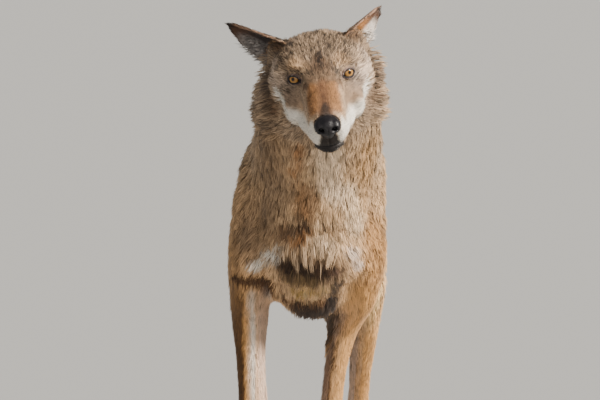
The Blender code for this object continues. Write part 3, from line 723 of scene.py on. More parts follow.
# Marks, painted in order: colour, strength, a path of places and radii, and the edge's softness if it
# isn't the usual one. On the head both sides are alike.
HEAD_MARKS = [
    # Crown, temple, cheek, the spot over the eye, and the frown between the eyes.
    (GRIZZLE, 0.9, [(0.0, 0.030, 0.042, 0.040)]),
    (PALE, 0.45, [(0.064, 0.022, 0.000, 0.020), (0.052, -0.012, -0.010, 0.016)]),
    (ASH, 0.9, [(0.048, -0.022, -0.018, 0.016), (0.036, -0.050, -0.022, 0.012)]),
    (FAWN, 0.85, [(0.034, -0.012, 0.028, 0.012), (0.022, -0.020, 0.030, 0.009)]),
    (DRAB, 0.90, [(0.010, -0.024, 0.030, 0.012), (0.022, -0.046, 0.010, 0.008)]),
    (WALNUT, 0.80, [(0.0, -0.008, 0.034, 0.008), (0.0, -0.046, 0.022, 0.011)]),
    (TAUPE, 0.60, [(0.0, -0.018, 0.026, 0.014), (0.0, -0.044, 0.018, 0.012)]),
    # The bridge of the nose and its brighter flanks.
    (CHESTNUT, 0.95, [(0.0, -0.062, 0.014, 0.017), (0.0, -0.112, 0.000, 0.013)]),
    (SORREL, 0.95, [(0.016, -0.054, 0.011, 0.0080), (0.018, -0.070, 0.005, 0.0110),
                    (0.018, -0.096, -0.004, 0.0100)]),
    # The white of the muzzle, which sweeps up round the cheek, and the pale chin and throat.
    (WHITE, 1.0, [(0.0235, -0.114, -0.022, 0.0085), (0.0250, -0.110, -0.034, 0.0105),
                  (0.0340, -0.070, -0.042, 0.0125), (0.0420, -0.045, -0.048, 0.0135),
                  (0.0530, -0.018, -0.050, 0.0130), (0.0600, -0.002, -0.043, 0.0125),
                  (0.0665, 0.004, -0.032, 0.0085), (0.0680, 0.006, -0.020, 0.0050)]),
    (WHITE, 0.9, [(0.050, -0.008, -0.072, 0.016), (0.026, -0.030, -0.092, 0.022)]),
    (CREAM, 0.9, [(0.0, -0.090, -0.078, 0.012), (0.0, -0.030, -0.095, 0.022)]),
    # The brown line behind the cheek, the dark wedge over the nose, and the tear line.
    (BROWN, 0.75, [(0.076, 0.024, -0.066, 0.010), (0.082, 0.032, -0.034, 0.011),
                   (0.080, 0.038, -0.008, 0.009)]),
    (SOOT, 0.85, [(0.0, -0.090, 0.004, 0.0042), (0.0, -0.118, -0.003, 0.0115)]),
    (BROWN, 0.80, [(0.0265, -0.0365, 0.0065, 0.0040), (0.0250, -0.0450, -0.0040, 0.0035)]),
    # The front of the lips: white beside, black under the nose and on the chin, with a pale fleck. The
    # black under the nose is partly black lip and partly painted shade.
    (WHITE, 0.95, [(0.0200, -0.1180, -0.0300, 0.0105), (0.0185, -0.1150, -0.0500, 0.0105)], 0.35),
    # Partly painted shade: the black under the nose.
    (BLACK, 0.98, [(0.0, -0.126, -0.0420, 0.0150), (0.0, -0.122, -0.0500, 0.0172)], 0.20),
    (BLACK, 0.98, [(0.0, -0.115, -0.0600, 0.0150), (0.014, -0.106, -0.0610, 0.0100)], 0.30),
    (WHITE, 0.55, [(0.0100, -0.1160, -0.0640, 0.0022), (0.0130, -0.1120, -0.0640, 0.0022)], 0.30),
    # In front of the ear.
    (BROWN, 0.65, [(0.046, 0.044, 0.032, 0.010), (0.058, 0.052, 0.024, 0.009)]),
]
BODY_MARKS = [
    # The nape and back, and the belly.
    (GRIZZLE, 0.85, [(0.0, -0.36, 0.80, 0.075), (0.0, -0.22, 0.70, 0.075), (0.0, 0.30, 0.69, 0.070)]),
    (CREAM, 0.75, [(-0.03, -0.10, 0.345, 0.05), (0.0, 0.20, 0.400, 0.05)]),
    # The neck: painted shade on its right side, honey to the left, pale and rufous streaks in the middle.
    # Painted shade: the right side of the neck darkened.
    (SHADE_UMBER, 0.60, [(-0.060, -0.400, 0.640, 0.040), (-0.066, -0.385, 0.590, 0.044),
                   (-0.074, -0.370, 0.540, 0.044), (-0.090, -0.340, 0.480, 0.040)]),
    (HONEY, 0.80, [(0.090, -0.390, 0.610, 0.028), (0.104, -0.365, 0.540, 0.030)]),
    (BUTTER, 0.85, [(0.030, -0.440, 0.618, 0.020), (0.030, -0.415, 0.575, 0.022),
                    (0.036, -0.395, 0.545, 0.018)]),
    (CREAM, 0.80, [(0.058, -0.385, 0.550, 0.014), (0.072, -0.362, 0.500, 0.016)]),
    (RUFOUS, 0.80, [(-0.014, -0.440, 0.612, 0.010), (-0.022, -0.412, 0.575, 0.012)]),
    # Partly painted shade: the russet patch on the upper breast, just right of the middle.
    (RUSSET, 0.85, [(-0.010, -0.395, 0.548, 0.016), (-0.004, -0.388, 0.520, 0.020)]),
    (BUFF, 0.70, [(0.032, -0.388, 0.525, 0.012), (0.034, -0.382, 0.506, 0.012)]),
    # The breast: a broken brown band, its right end partly painted shade, then the roots of its pale
    # fringe.
    (PITCH, 1.0, [(-0.008, -0.377, 0.498, 0.0125), (-0.016, -0.374, 0.492, 0.012)]),
    # Partly painted shade: the band's right end, widening towards the right side.
    (BROWN, 0.85, [(-0.034, -0.368, 0.488, 0.014), (-0.054, -0.360, 0.484, 0.013)]),
    (CREAM, 0.75, [(0.010, -0.378, 0.503, 0.005), (0.040, -0.376, 0.500, 0.006)]),
    (BROWN, 0.95, [(0.027, -0.374, 0.4925, 0.0080), (0.031, -0.373, 0.4915, 0.007)]),
    (BROWN, 0.85, [(0.046, -0.371, 0.4930, 0.0075), (0.049, -0.371, 0.4900, 0.007)]),
    (RUFOUS, 0.85, [(-0.028, -0.366, 0.472, 0.010), (-0.002, -0.371, 0.484, 0.009)]),
    (CREAM, 0.70, [(0.008, -0.371, 0.472, 0.010), (0.032, -0.371, 0.470, 0.014)]),
    # The brisket between the forelegs: a dark hollow, a golden band, and black below it. The hollow, the
    # dark patches beside it and the black below are partly dark hair and partly painted shade.
    # Partly painted shade: the hollow between the forelegs, under the breast.
    (HOLLOW, 0.98, [(-0.034, -0.348, 0.436, 0.019), (-0.004, -0.355, 0.436, 0.023),
                    (0.026, -0.355, 0.432, 0.021)]),
    (OLIVE, 0.75, [(-0.036, -0.335, 0.416, 0.010), (0.006, -0.342, 0.414, 0.011)]),
    (BARK, 0.85, [(0.046, -0.350, 0.430, 0.014)]),
    (GOLD, 0.90, [(-0.036, -0.322, 0.399, 0.008), (0.0, -0.330, 0.397, 0.009),
                  (0.030, -0.335, 0.399, 0.010)]),
    # Partly painted shade: the black under the brisket and along the belly between the forelegs.
    (COCOA, 0.95, [(-0.034, -0.306, 0.380, 0.012), (0.030, -0.306, 0.380, 0.013)]),
    (BLACK, 0.95, [(-0.016, -0.300, 0.362, 0.015), (0.030, -0.298, 0.366, 0.017)]),
    (SOOT, 0.95, [(0.0, -0.29, 0.350, 0.026), (0.0, -0.20, 0.345, 0.030)]),
    # The shoulders: warm to the left, a pale tuft at each, and painted shadow in the armpits.
    (COPPER, 0.80, [(0.108, -0.32, 0.485, 0.032), (0.104, -0.29, 0.420, 0.030)]),
    (TAN, 0.90, [(0.085, -0.29, 0.395, 0.020), (0.064, -0.24, 0.330, 0.020)]),
    (WHITE, 0.90, [(-0.046, -0.354, 0.460, 0.009), (-0.060, -0.345, 0.450, 0.012),
                   (-0.074, -0.335, 0.436, 0.011)]),
    (PALE, 0.80, [(0.060, -0.356, 0.462, 0.009), (0.071, -0.346, 0.452, 0.011),
                  (0.076, -0.332, 0.438, 0.009)]),
    # Painted shadow: a dark band along the top of the right foreleg, under the breast.
    (BROWN, 0.97, [(-0.110, -0.305, 0.418, 0.0090), (-0.085, -0.323, 0.4145, 0.0080),
                   (-0.063, -0.313, 0.4125, 0.0080), (-0.056, -0.294, 0.394, 0.0110)], 0.45),
    # Painted shade: down the inner side of the left foreleg and under the breast.
    (SOOT, 0.92, [(0.043, -0.330, 0.410, 0.011), (0.036, -0.295, 0.370, 0.013),
                  (0.033, -0.222, 0.346, 0.018), (0.030, -0.205, 0.322, 0.015)]),
    # The hindquarters: pale breeches, the left thigh, and the tail's scent spot and black tip.
    (CREAM, 0.7, [(0.03, 0.40, 0.56, 0.030), (0.05, 0.38, 0.44, 0.040)]),
    (CREAM, 0.7, [(-0.03, 0.41, 0.56, 0.030), (-0.05, 0.42, 0.44, 0.040)]),
    (STRAW, 0.8, [(0.105, 0.14, 0.42, 0.030), (0.105, 0.17, 0.30, 0.022)]),
    (BROWN, 0.85, [(0.122, 0.180, 0.369, 0.007), (0.120, 0.184, 0.362, 0.006)]),
    (SOOT, 0.65, [(0.0, 0.47, 0.62, 0.030), (0.0, 0.56, 0.56, 0.024)]),
    (BLACK, 0.90, [(0.0, 0.590, 0.360, 0.030), (0.0, 0.620, 0.290, 0.040)]),
]
PART_COLOURS = {
    "muzzle": (0.48, 0.34, 0.23), "brow": GRIZZLE, "cheek": GRIZZLE, "ear": TAN, "throat": BUFF,
    "neck": (0.42, 0.295, 0.19), "back": GRIZZLE, "side": (0.42, 0.295, 0.18), "belly": CREAM,
    "shoulder": (0.58, 0.37, 0.21), "thigh": SAND, "forearm": TAN, "shank": TAN, "paw": TAN, "tail": BUFF,
}
# How much richer than painted the colours are, how the channels make up their lightness, and the range
# that hair keeps to.
RICHNESS = 1.17
LUMINANCE = np.array([0.21, 0.72, 0.07])
DARKEST = 0.004
BRIGHTEST = 0.95
# The share of tufts with black tips.
PART_BLACK = {
    "muzzle": 0.12, "brow": 0.44, "cheek": 0.16, "ear": 0.08, "throat": 0.07, "neck": 0.20,
    "back": 0.55, "side": 0.24, "belly": 0.03, "shoulder": 0.12, "thigh": 0.12,
    "forearm": 0.03, "shank": 0.04, "paw": 0.03, "tail": 0.32,
}
# For each leg: its side, and how strong its pale streak, dark inner side, dark outer side and dark flecks
# are. The pale streak is partly a painted highlight; the dark inner and outer sides are painted shade.
LEG_TONES = {
    "foreleg_left": (1, 0.10, 0.85, 0.10, 0.85),
    "foreleg_right": (-1, 0.95, 0.0, 0.90, 0.25),
    "hindleg_left": (1, 0.20, 0.30, 0.10, 0.15),
    "hindleg_right": (-1, 0.20, 0.40, 0.20, 0.15),
}


def painted(colours, colour, share):
    return mix(colours, np.array(colour), np.asarray(share)[:, None])


def capped(colours):
    """Colours brought down to what hair can be, each keeping its hue."""
    return np.maximum(colours, DARKEST) / np.maximum(colours.max(1, keepdims=True) / BRIGHTEST, 1)


def ragged(points, size):
    """Points moved about by this much, so that what is painted at them has ragged edges."""
    waves = [value_noise(points, 0.011, 21 + axis) + 0.5 * value_noise(points, 0.004, 24 + axis)
             for axis in range(3)]
    return points + np.stack(waves, 1) * np.asarray(size)[:, None]


def marked(at):
    """The coat's colour, and the share of black tips, at these places."""
    colours = at.shares @ np.array([PART_COLOURS[part] for part in PARTS])
    black = at.shares @ np.array([PART_BLACK[part] for part in PARTS])
    on_head = at.share("muzzle", "brow", "cheek")
    moved = ragged(at.points, mix(0.0055, 0.0016, on_head))
    for colour, strength, path, *soft in BODY_MARKS:
        colours = painted(colours, colour, strength * stroke(moved, path, *soft))
    head = mirrored(in_head(moved))
    for colour, strength, path, *soft in HEAD_MARKS:
        colours = painted(colours, colour, strength * stroke(head, path, *soft) * on_head)
    # A dark line runs up the middle of the brow, and white hair has few black tips.
    median = ridge(at.head[:, 0], 0.0, 0.0040) * ramp(at.head[:, 1], -0.045, -0.015) * on_head
    black = mix(black, 0.80, median * ramp(at.head[:, 2], 0.015, 0.025))
    white = ramp(colours.min(1), 0.45, 0.62)
    black = black * (1 - 0.85 * white)
    colours, black = mark_legs(at, colours, black)
    colours, black = mark_ears(at, colours, black)
    # Black tips gather in clumps, and the colour varies in blotches, lighter or darker and warmer.
    clump = value_noise(at.points, 0.0055, 5) + 0.6 * value_noise(at.points, 0.013, 6)
    black = black * (1 + 1.1 * clump)
    blotch = 0.11 * value_noise(at.points, 0.030, 1) + 0.09 * value_noise(at.points, 0.009, 2)
    colours = colours * (1 + blotch)[:, None]
    warm = 0.05 * value_noise(at.points, 0.024, 3)
    colours = colours * (1 + warm[:, None] * np.array([0.5, 0.15, -0.5]))
    grey = colours @ LUMINANCE
    colours = mix(grey[:, None], colours, RICHNESS)
    return capped(colours), np.clip(black, 0, 1)


def mark_legs(at, colours, black):
    """The pale inner sides of the legs, the painted shade on their dark sides, a pale streak that is partly
    a painted highlight, and the dark flecks down the front of the wrists.
    """
    height = at.points[:, 2]
    lower = at.share("forearm", "shank", "paw")
    front = ramp(-at.normals[:, 1], 0.05, 0.55)
    for leg, (side, streak, inner, outer, flecks) in LEG_TONES.items():
        here = lower * at.on(*[name for name in FLESH if name.startswith(leg)])
        out = side * at.normals[:, 0]
        # The inner side is pale; painted shade lies over it, and on the outer side, by the leg's own
        # shares.
        inside = ramp(-out, 0.35, 0.80) * here
        outside = ramp(out, 0.38, 0.62) * ramp(at.normals[:, 1], -0.93, -0.74) * here
        above = ramp(height, 0.19, 0.27)
        below = ramp(height, 0.410, 0.392)
        colours = painted(colours, BLUSH, 0.80 * inside * below)
        colours = painted(colours, BROWN, inner * inside * above)
        colours = painted(colours, BROWN, outer * outside * ramp(height, 0.06, 0.14))
        # A pale streak runs down the front, partly a painted highlight, and dark flecks beside it on its
        # inner side.
        pale = ridge(out, -0.20, 0.26) * front * here
        colours = painted(colours, STREAK, streak * pale * ramp(height, 0.05, 0.12) * below)
        speckled = ridge(out, -0.50, 0.20) * front * here
        speckled = speckled * ramp(height, 0.045, 0.075) * ramp(height, 0.36, 0.27)
        black = mix(black, 0.75, flecks * speckled)
    toes = at.share("paw") * ramp(height, 0.05, 0.02)
    return painted(colours, CREAM, 0.5 * toes), black


def mark_ears(at, colours, black):
    """Dark backs, tan edges, a hollow with long pale hairs, and black tips."""
    for ear in EARS:
        here = at.on(ear.node)
        along, across = ear.place(at.head)
        facing = at.head_normals @ ear.facing
        inside = ramp(facing + 0.5 * ramp(across, -0.2, -0.8), -0.15, 0.30)
        hollow = mix(np.array(ear.hollow), np.array(EAR_DEPTH), ramp(along, 0.45, 0.80)[:, None])
        hollow = painted(hollow, EAR_EDGE, 0.90 * ramp(across, 0.40, 0.62))
        # Long hairs show along the lower edge and at the base.
        low_edge = ramp(across, ear.fringe_top + 0.15, ear.fringe_top - 0.35) * ramp(along, 0.80, 0.45)
        hollow = painted(hollow, ear.hairs, 0.90 * low_edge)
        hollow = painted(hollow, ear.hairs, 0.80 * ramp(along, 0.18, 0.02) * ramp(across, 0.1, -0.4))
        # The back of the ear is brown, and grizzled towards its base.
        back = painted(np.tile(BROWN, (len(along), 1)), GRIZZLE, 0.7 * ramp(along, 0.45, 0.10))
        tones = mix(back, hollow, inside[:, None])
        # The upper edge is tan, the lower edge as pale as the hairs, and the tip black.
        tones = painted(tones, EAR_EDGE, 0.75 * ramp(across, 0.60, 0.85) * ramp(along, 0.05, 0.20))
        tones = painted(tones, ear.hairs, 0.90 * ramp(across, -0.60, -0.82) * ramp(along, 0.85, 0.60))
        tones = painted(tones, SOOT, 0.9 * ramp(along, 0.84, 0.97))
        colours = np.where(here[:, None], tones, colours)
        black = np.where(here, 0.30 * (1 - inside), black)
    return colours, black


# Bare places, where no tuft grows.


def nose_gap(skin):
    """How far the skin at the tip of the muzzle is from the nose."""
    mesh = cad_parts["nose"].data
    tree = BVHTree.FromPolygons(coordinates(mesh).tolist(), triangle_corners(mesh).tolist())
    gap = np.full(len(skin.points), 1.0)
    for i in np.flatnonzero(skin.head[:, 1] < -0.080):
        gap[i] = tree.find_nearest(skin.points[i].tolist())[3]
    return gap


def bare_places(skin):
    """1 where the skin is bare: the lids' rims, the lips, the nose's edge and the pads."""
    bare = ramp(skin.eye_edge, LID_RIM + 0.0009, LID_RIM)
    head = skin.head
    lips = ridge(lip_offset(head), 0.0, 0.0020) * ramp(-head[:, 1], 0.030, 0.050)
    bare = np.maximum(bare, np.clip(lips * (head[:, 2] < -0.035) * 1.6, 0, 1))
    bare = np.maximum(bare, ramp(skin.nose_gap, 0.0009, 0.0003))
    pads = ramp(-skin.normals[:, 2], 0.4, 0.7) * ramp(skin.points[:, 2], 0.014, 0.008)
    return np.maximum(bare, pads)


# Tufts. A spike is a flattened pyramid for short hair; a lock is widest in its middle and can bend.

UV_PATCH = 0.003
UNWRAP_ANGLE = math.radians(66)
ISLAND_MARGIN = 0.003
SPIKE_FACES = ((0, 2, 1), (0, 1, 3), (1, 2, 3), (2, 0, 3))
LOCK_FACES = ((0, 2, 1), (0, 1, 3), (0, 3, 2), (1, 2, 4), (1, 4, 3), (2, 3, 4))
SPIKE_UNDER = (1,)
LOCK_UNDER = (0, 3)
# Each point's place in the tuft's own patch: across it, and along it.
SPIKE_PATCH = ((-0.5, -0.5), (0.5, -0.5), (0.0, -0.3), (0.0, 0.5))
LOCK_PATCH = ((0.0, -0.5), (-0.5, 0.0), (0.5, 0.0), (0.0, 0.1), (0.0, 0.5))
# How many strands a tuft's grain shows across it, and how far apart the grains of two tufts may lie.
STRANDS = 4.0
STRAND_OFFSETS = 200

# How much tufts differ: the least and most of their length, width and rise, their lean to a side, the
# share of strays that stand up, and how light the tufts and the locks are.
LENGTH_SPREAD = (0.65, 1.15)
WIDTH_SPREAD = (0.70, 1.25)
RISE_SPREAD = (0.55, 1.05)
SWERVE = 0.13
STRAYS = 0.06
TUFT_LIGHT = 0.17
LOCK_LIGHT = 0.15
TO_SQUARE_METRE = 1e4
# A tuft's shading normals keep to this cosine from their face, are turned back this strongly where they
# stray past it, and always follow the face by this share.
LEAST_FACING = 0.45
TURN_BACK = 1.3
OWN_SHARE = 0.15
# How far below the skin a tuft starts, and how high its ridge stands for its width.
ROOT_SUNK = 0.0005
RIDGE_HEIGHT = 0.30


def region_map(skin, faces):
    """Where each of these faces' corners lies on an unwrap of this stretch of skin."""
    used, corners = np.unique(skin.triangles[faces], return_inverse=True)
    mesh = bpy.data.meshes.new("stretch")
    mesh.from_pydata(skin.points[used].tolist(), [], corners.reshape(-1, 3).tolist())
    obj = linked("stretch", mesh)
    unwrap(obj)
    uv = np.empty(len(mesh.loops) * 2, np.float32)
    mesh.uv_layers.active.uv.foreach_get("vector", uv)
    bpy.data.objects.remove(obj)
    bpy.data.meshes.remove(mesh)
    return uv.reshape(-1, 3, 2)


def unwrap(obj):
    select_only(obj)
    bpy.ops.object.mode_set(mode="EDIT")
    bpy.ops.mesh.select_all(action="SELECT")
    bpy.ops.uv.smart_project(angle_limit=UNWRAP_ANGLE, island_margin=ISLAND_MARGIN)
    bpy.ops.object.mode_set(mode="OBJECT")


class Roots:
    """Roots scattered over these faces of the skin, by a density (to a square metre) at each vertex."""

    def __init__(self, skin, faces, density):
        corners = skin.triangles[faces]
        a, b, c = (skin.points[corners[:, i]] for i in range(3))
        cross = np.cross(b - a, c - a)
        wanted = np.linalg.norm(cross, axis=1) / 2 * density[corners].mean(1)
        count = np.floor(wanted + RNG.random(len(wanted))).astype(int)
        self.face = np.repeat(np.arange(len(faces)), count)
        self.count = len(self.face)
        u, v = RNG.random(self.count), RNG.random(self.count)
        over = u + v > 1
        u, v = np.where(over, 1 - u, u), np.where(over, 1 - v, v)
        self.weights = np.stack([1 - u - v, u, v], 1)
        self.corners = corners[self.face]
        self.points = self.at(skin.points)
        self.normals = unit(unit(self.at(skin.normals)) + 0.6 * unit(cross[self.face]))
        self.shares = self.at(skin.shares)
        self.nodes = skin.nodes[self.corners[:, 0]]

    def at(self, values):
        """What these values at the skin's vertices are at the roots."""
        values = np.asarray(values, float)
        if values.ndim == 1:
            return (values[self.corners] * self.weights).sum(1)
        return (values[self.corners] * self.weights[:, :, None]).sum(1)


def drawn_together(roots, tips, size, pull):
    """Draws the tips of neighbouring tufts towards one tip each, as fur gathers into locks. Also gives
    the lock of each tuft."""
    spacing = np.median(size)
    cells = np.floor(roots / (spacing * 1.5)).astype(int)
    _, first = np.unique(cells, axis=0, return_index=True)
    seeds = np.sort(first)
    tree = KDTree(len(seeds))
    for i, seed in enumerate(seeds):
        tree.insert(roots[seed], i)
    tree.balance()
    lock = np.array([tree.find(root)[1] for root in roots.tolist()])
    lead = seeds[lock]
    apart = np.linalg.norm(roots - roots[lead], axis=1)
    share = pull * ramp(apart, 3 * spacing, 0.5 * spacing)
    drawn = tips + (tips[lead] - tips) * share[:, None]
    # A tip that would be drawn round an edge or a fold stays where it is.
    astray = dot(unit(drawn - roots), unit(tips - roots)) < 0.75
    return np.where(astray[:, None], tips, drawn), lock


def tuft_mesh(name, points, faces, patch, uv_roots, colours, shading):
    """One mesh of many closed tufts, from each tuft's points and colours, and its corners' normals."""
    count, per = points.shape[:2]
    faces = np.array(faces)
    index = (np.arange(count)[:, None, None] * per + faces[None]).reshape(-1)
    mesh = bpy.data.meshes.new(name)
    mesh.vertices.add(count * per)
    mesh.vertices.foreach_set("co", points.astype(np.float32).ravel())
    mesh.loops.add(len(index))
    mesh.loops.foreach_set("vertex_index", index.astype(np.int32))
    mesh.polygons.add(len(index) // 3)
    mesh.polygons.foreach_set("loop_start", np.arange(0, len(index), 3, dtype=np.int32))
    mesh.polygons.foreach_set("use_smooth", np.ones(len(index) // 3, bool))
    mesh.update(calc_edges=True)

    uv = np.clip(uv_roots, UV_PATCH, 1 - UV_PATCH)[:, None] + np.array(patch)[None] * UV_PATCH
    layer = mesh.uv_layers.new(name="OFBake")
    layer.uv.foreach_set("vector", uv.reshape(-1, 2)[index].astype(np.float32).ravel())

    colour = np.ones((count, per, 4))
    colour[:, :, :3] = colours
    store(mesh.color_attributes, "coat_colour", "FLOAT_COLOR", colour)

    strand = np.zeros((count, per, 3))
    strand[:, :, :2] = np.array(patch) * np.array([STRANDS, 1.0])
    strand[:, :, 2] = RNG.uniform(0, STRAND_OFFSETS, count)[:, None]
    store(mesh.attributes, "strand", "FLOAT_VECTOR", strand)

    layer = mesh.attributes.new("custom_normal", "FLOAT_VECTOR", "CORNER")
    layer.data.foreach_set("vector", shading.astype(np.float32).ravel())
    return linked(name, mesh)


def tuft_shading(points, faces, under, normals, below, edged):
    """The shading normals of tufts' corners. They follow the skin, and each face a little, so that they
    never turn away from their face. The faces numbered in `under` face the skin. A tuft on an edge,
    where its underside shows, is shaded by its own shape: `edged` is 1 there."""
    faces = np.array(faces)
    count, per = points.shape[:2]
    corner = points[:, faces.ravel()].reshape(count, len(faces), 3, 3)
    flat = np.cross(corner[:, :, 1] - corner[:, :, 0], corner[:, :, 2] - corner[:, :, 0])
    own = np.zeros((count, per, 3))
    for number, face in enumerate(faces):
        own[:, face] += flat[:, [number]]
    own /= np.maximum(np.linalg.norm(own, axis=2, keepdims=True), 1e-12)
    flat /= np.maximum(np.linalg.norm(flat, axis=2, keepdims=True), 1e-12)
    flat = flat[:, :, None]
    shading = normals[:, faces.ravel()].reshape(count, len(faces), 3, 3)
    shading[:, list(under)] = below[:, None, None]
    turn = np.maximum(LEAST_FACING - (shading * flat).sum(3, keepdims=True), 0) * TURN_BACK
    shading = shading + flat * (turn + OWN_SHARE)
    own = own[:, faces.ravel()].reshape(shading.shape)
    shading = mix(shading, own, edged[:, None, None, None])
    return shading / np.linalg.norm(shading, axis=3, keepdims=True)


def tufts(name, kind, roots, tips, side, normals, width, bulge, colours, tip_colours, uv_roots, edged):
    """Builds one piece of tufts between roots and tips. Each is darker at its root, partly its banding and
    partly painted shade among the tufts, less so where it is pale."""
    half = side * (width / 2)[:, None]
    rise = normals * (width * RIDGE_HEIGHT)[:, None]
    up = unit(np.cross(tips - roots, side))
    left, right = unit(normals - 0.45 * side), unit(normals + 0.45 * side)
    base = roots - normals * ROOT_SUNK
    pale = ramp(colours.min(1), 0.40, 0.70)[:, None]
    # Painted shade, with the hair's banding: the roots darker.
    deep = colours * mix(0.60 if kind == "spike" else 0.40, 0.86, pale)
    if kind == "spike":
        faces, under, patch = SPIKE_FACES, SPIKE_UNDER, SPIKE_PATCH
        points = np.stack([base - half, base + half, base + rise, tips], 1)
        tones = np.stack([deep, deep, mix(deep, colours, 0.5), tip_colours], 1)
        facing = np.stack([left, right, normals, normals], 1)
    else:
        faces, under, patch = LOCK_FACES, LOCK_UNDER, LOCK_PATCH
        bend = mix(roots, tips, 0.48) + normals * bulge[:, None]
        points = np.stack([base, bend - half, bend + half, bend + rise, tips], 1)
        body = mix(deep, colours, 0.75)
        tones = np.stack([deep, body, body, colours, tip_colours], 1)
        facing = np.stack([normals, left, right, normals, normals], 1)
    shading = tuft_shading(points, faces, under, facing, -up, edged)
    obj = tuft_mesh(name, points, faces, patch, uv_roots, tones, shading)
    obj.data.materials.append(coat_material())
    return obj


def grow(skin, name, kind, chosen, coat=None, way=None, tint=None, strays=STRAYS):
    """Grows one piece of the coat where `chosen` (0 to 1 at each vertex) lets it."""
    coat = skin.coat if coat is None else np.tile(np.array(coat, float), (len(skin.points), 1))
    way = skin.way if way is None else way
    faces = np.flatnonzero((chosen[skin.triangles] > 0.02).sum(1) >= 2)
    uv = region_map(skin, faces)
    density = coat[:, DENSITY] * TO_SQUARE_METRE * (1 - skin.bare) * np.clip(chosen, 0, 1)
    roots = Roots(skin, faces, density)
    uv_roots = (uv[roots.face] * roots.weights[:, :, None]).sum(1)
    points, normals, count = roots.points, roots.normals, roots.count
    way = along_skin(roots.at(way), normals)
    coat = roots.at(coat)

    # Each tuft leans a little off the lie of its neighbours, with slower waves through the coat. The
    # brow's hair is the roughest.
    side = np.cross(normals, way)
    rough = 1 + 0.9 * roots.at(skin.share("brow"))
    swerve = (0.20 * value_noise(points, 0.020, 11) + 0.20 * value_noise(points, 0.006, 12) * rough
              + RNG.normal(0, SWERVE, count) * rough)
    way = unit(way + side * swerve[:, None])
    side = np.cross(normals, way)
    length = coat[:, LENGTH] * RNG.uniform(*LENGTH_SPREAD, count)
    length *= 1 + 0.12 * value_noise(points, 0.010, 14)
    width = coat[:, WIDTH] * RNG.uniform(*WIDTH_SPREAD, count)
    depth = np.minimum(coat[:, DEPTH], 1.4 * roots.at(skin.depth) + 0.0006)
    rise = depth * coat[:, LIFT] * RNG.uniform(*RISE_SPREAD, count)
    rise *= 1 + 0.35 * value_noise(points, 0.0075, 13)
    rise = np.where(RNG.random(count) < strays, rise * 1.5, rise)
    rise = np.minimum(rise, 0.8 * length)
    reach = np.sqrt(np.maximum(length ** 2 - rise ** 2, 0))
    tips = points + way * reach[:, None] + normals * rise[:, None]
    tips, lock = drawn_together(points, tips, coat[:, LOCK_SIZE], coat[:, PULL])

    seen = mix(points, tips, 0.6) + RNG.normal(0, 0.28, (count, 3)) * coat[:, [LOCK_SIZE]]
    colours, tip_colours = tuft_colours(skin, roots, seen, lock, rough, tint)
    edged = np.maximum(ramp(skin.eye_edge, 0.010, 0.007), ramp(skin.share("ear"), 0.05, 0.30))
    return tufts(name, kind, points, tips, side, normals, width, rise * 0.30, colours, tip_colours,
                 uv_roots, roots.at(edged))


def tuft_colours(skin, roots, seen, lock, rough, tint):
    """The colours of tufts and of their tips. Each takes the markings where it is seen, or the tint,
    and is a little lighter or darker by itself and with its lock."""
    colours, black = marked(Places(seen, roots.normals, roots.shares, roots.nodes))
    near_lid = ramp(roots.at(skin.eye_edge), 0.0056, 0.0034)
    colours = painted(colours, MAUVE, 0.70 * near_lid)
    black = black * (1 - near_lid)
    if tint is not None:
        colours = painted(colours, tint, RNG.uniform(0.35, 1.0, roots.count))
        black = black * 0
    lock_light = 1 + LOCK_LIGHT * RNG.standard_normal(lock.max() + 1)
    light = np.clip(1 + RNG.normal(0, TUFT_LIGHT, roots.count) * rough, 0.3, 1.8) * lock_light[lock]
    colours = capped(colours * light[:, None])
    dark = (RNG.random(roots.count) < black)[:, None]
    tip_colours = np.where(dark, np.array(SOOT) * 0.5, capped(colours * 1.20))
    return np.where(dark, colours * 0.50, colours), tip_colours


# Materials.


def new_material(name, values):
    """A material with these values on its shader. Gives its node tree and shader too."""
    material = bpy.data.materials.new(name)
    material.use_nodes = True
    shader = material.node_tree.nodes["Principled BSDF"]
    set_inputs(shader, values)
    return material, material.node_tree, shader


def set_inputs(node, values):
    for name, value in values.items():
        node.inputs[name].default_value = value


def add_node(tree, kind, sources, values=None, **settings):
    """A node with these settings, the outputs that feed its inputs, and the values of other inputs."""
    node = tree.nodes.new("ShaderNode" + kind)
    for name, value in settings.items():
        setattr(node, name, value)
    set_inputs(node, values or {})
    for name, output in sources.items():
        tree.links.new(output, node.inputs[name])
    return node


def multiplied(tree, colour, by):
    """The output of a node that multiplies a colour."""
    node = add_node(tree, "Mix", {}, data_type="RGBA", blend_type="MULTIPLY")
    node.inputs["Factor"].default_value = 1.0
    tree.links.new(colour, node.inputs["A"])
    tree.links.new(by, node.inputs["B"])
    return node.outputs["Result"]


def relieved(tree, shader, height, strength, distance, invert=False):
    """Gives the shader a relief of this height."""
    values = {"Strength": strength, "Distance": distance}
    bump = add_node(tree, "Bump", {"Height": height}, values, invert=invert)
    tree.links.new(bump.outputs["Normal"], shader.inputs["Normal"])


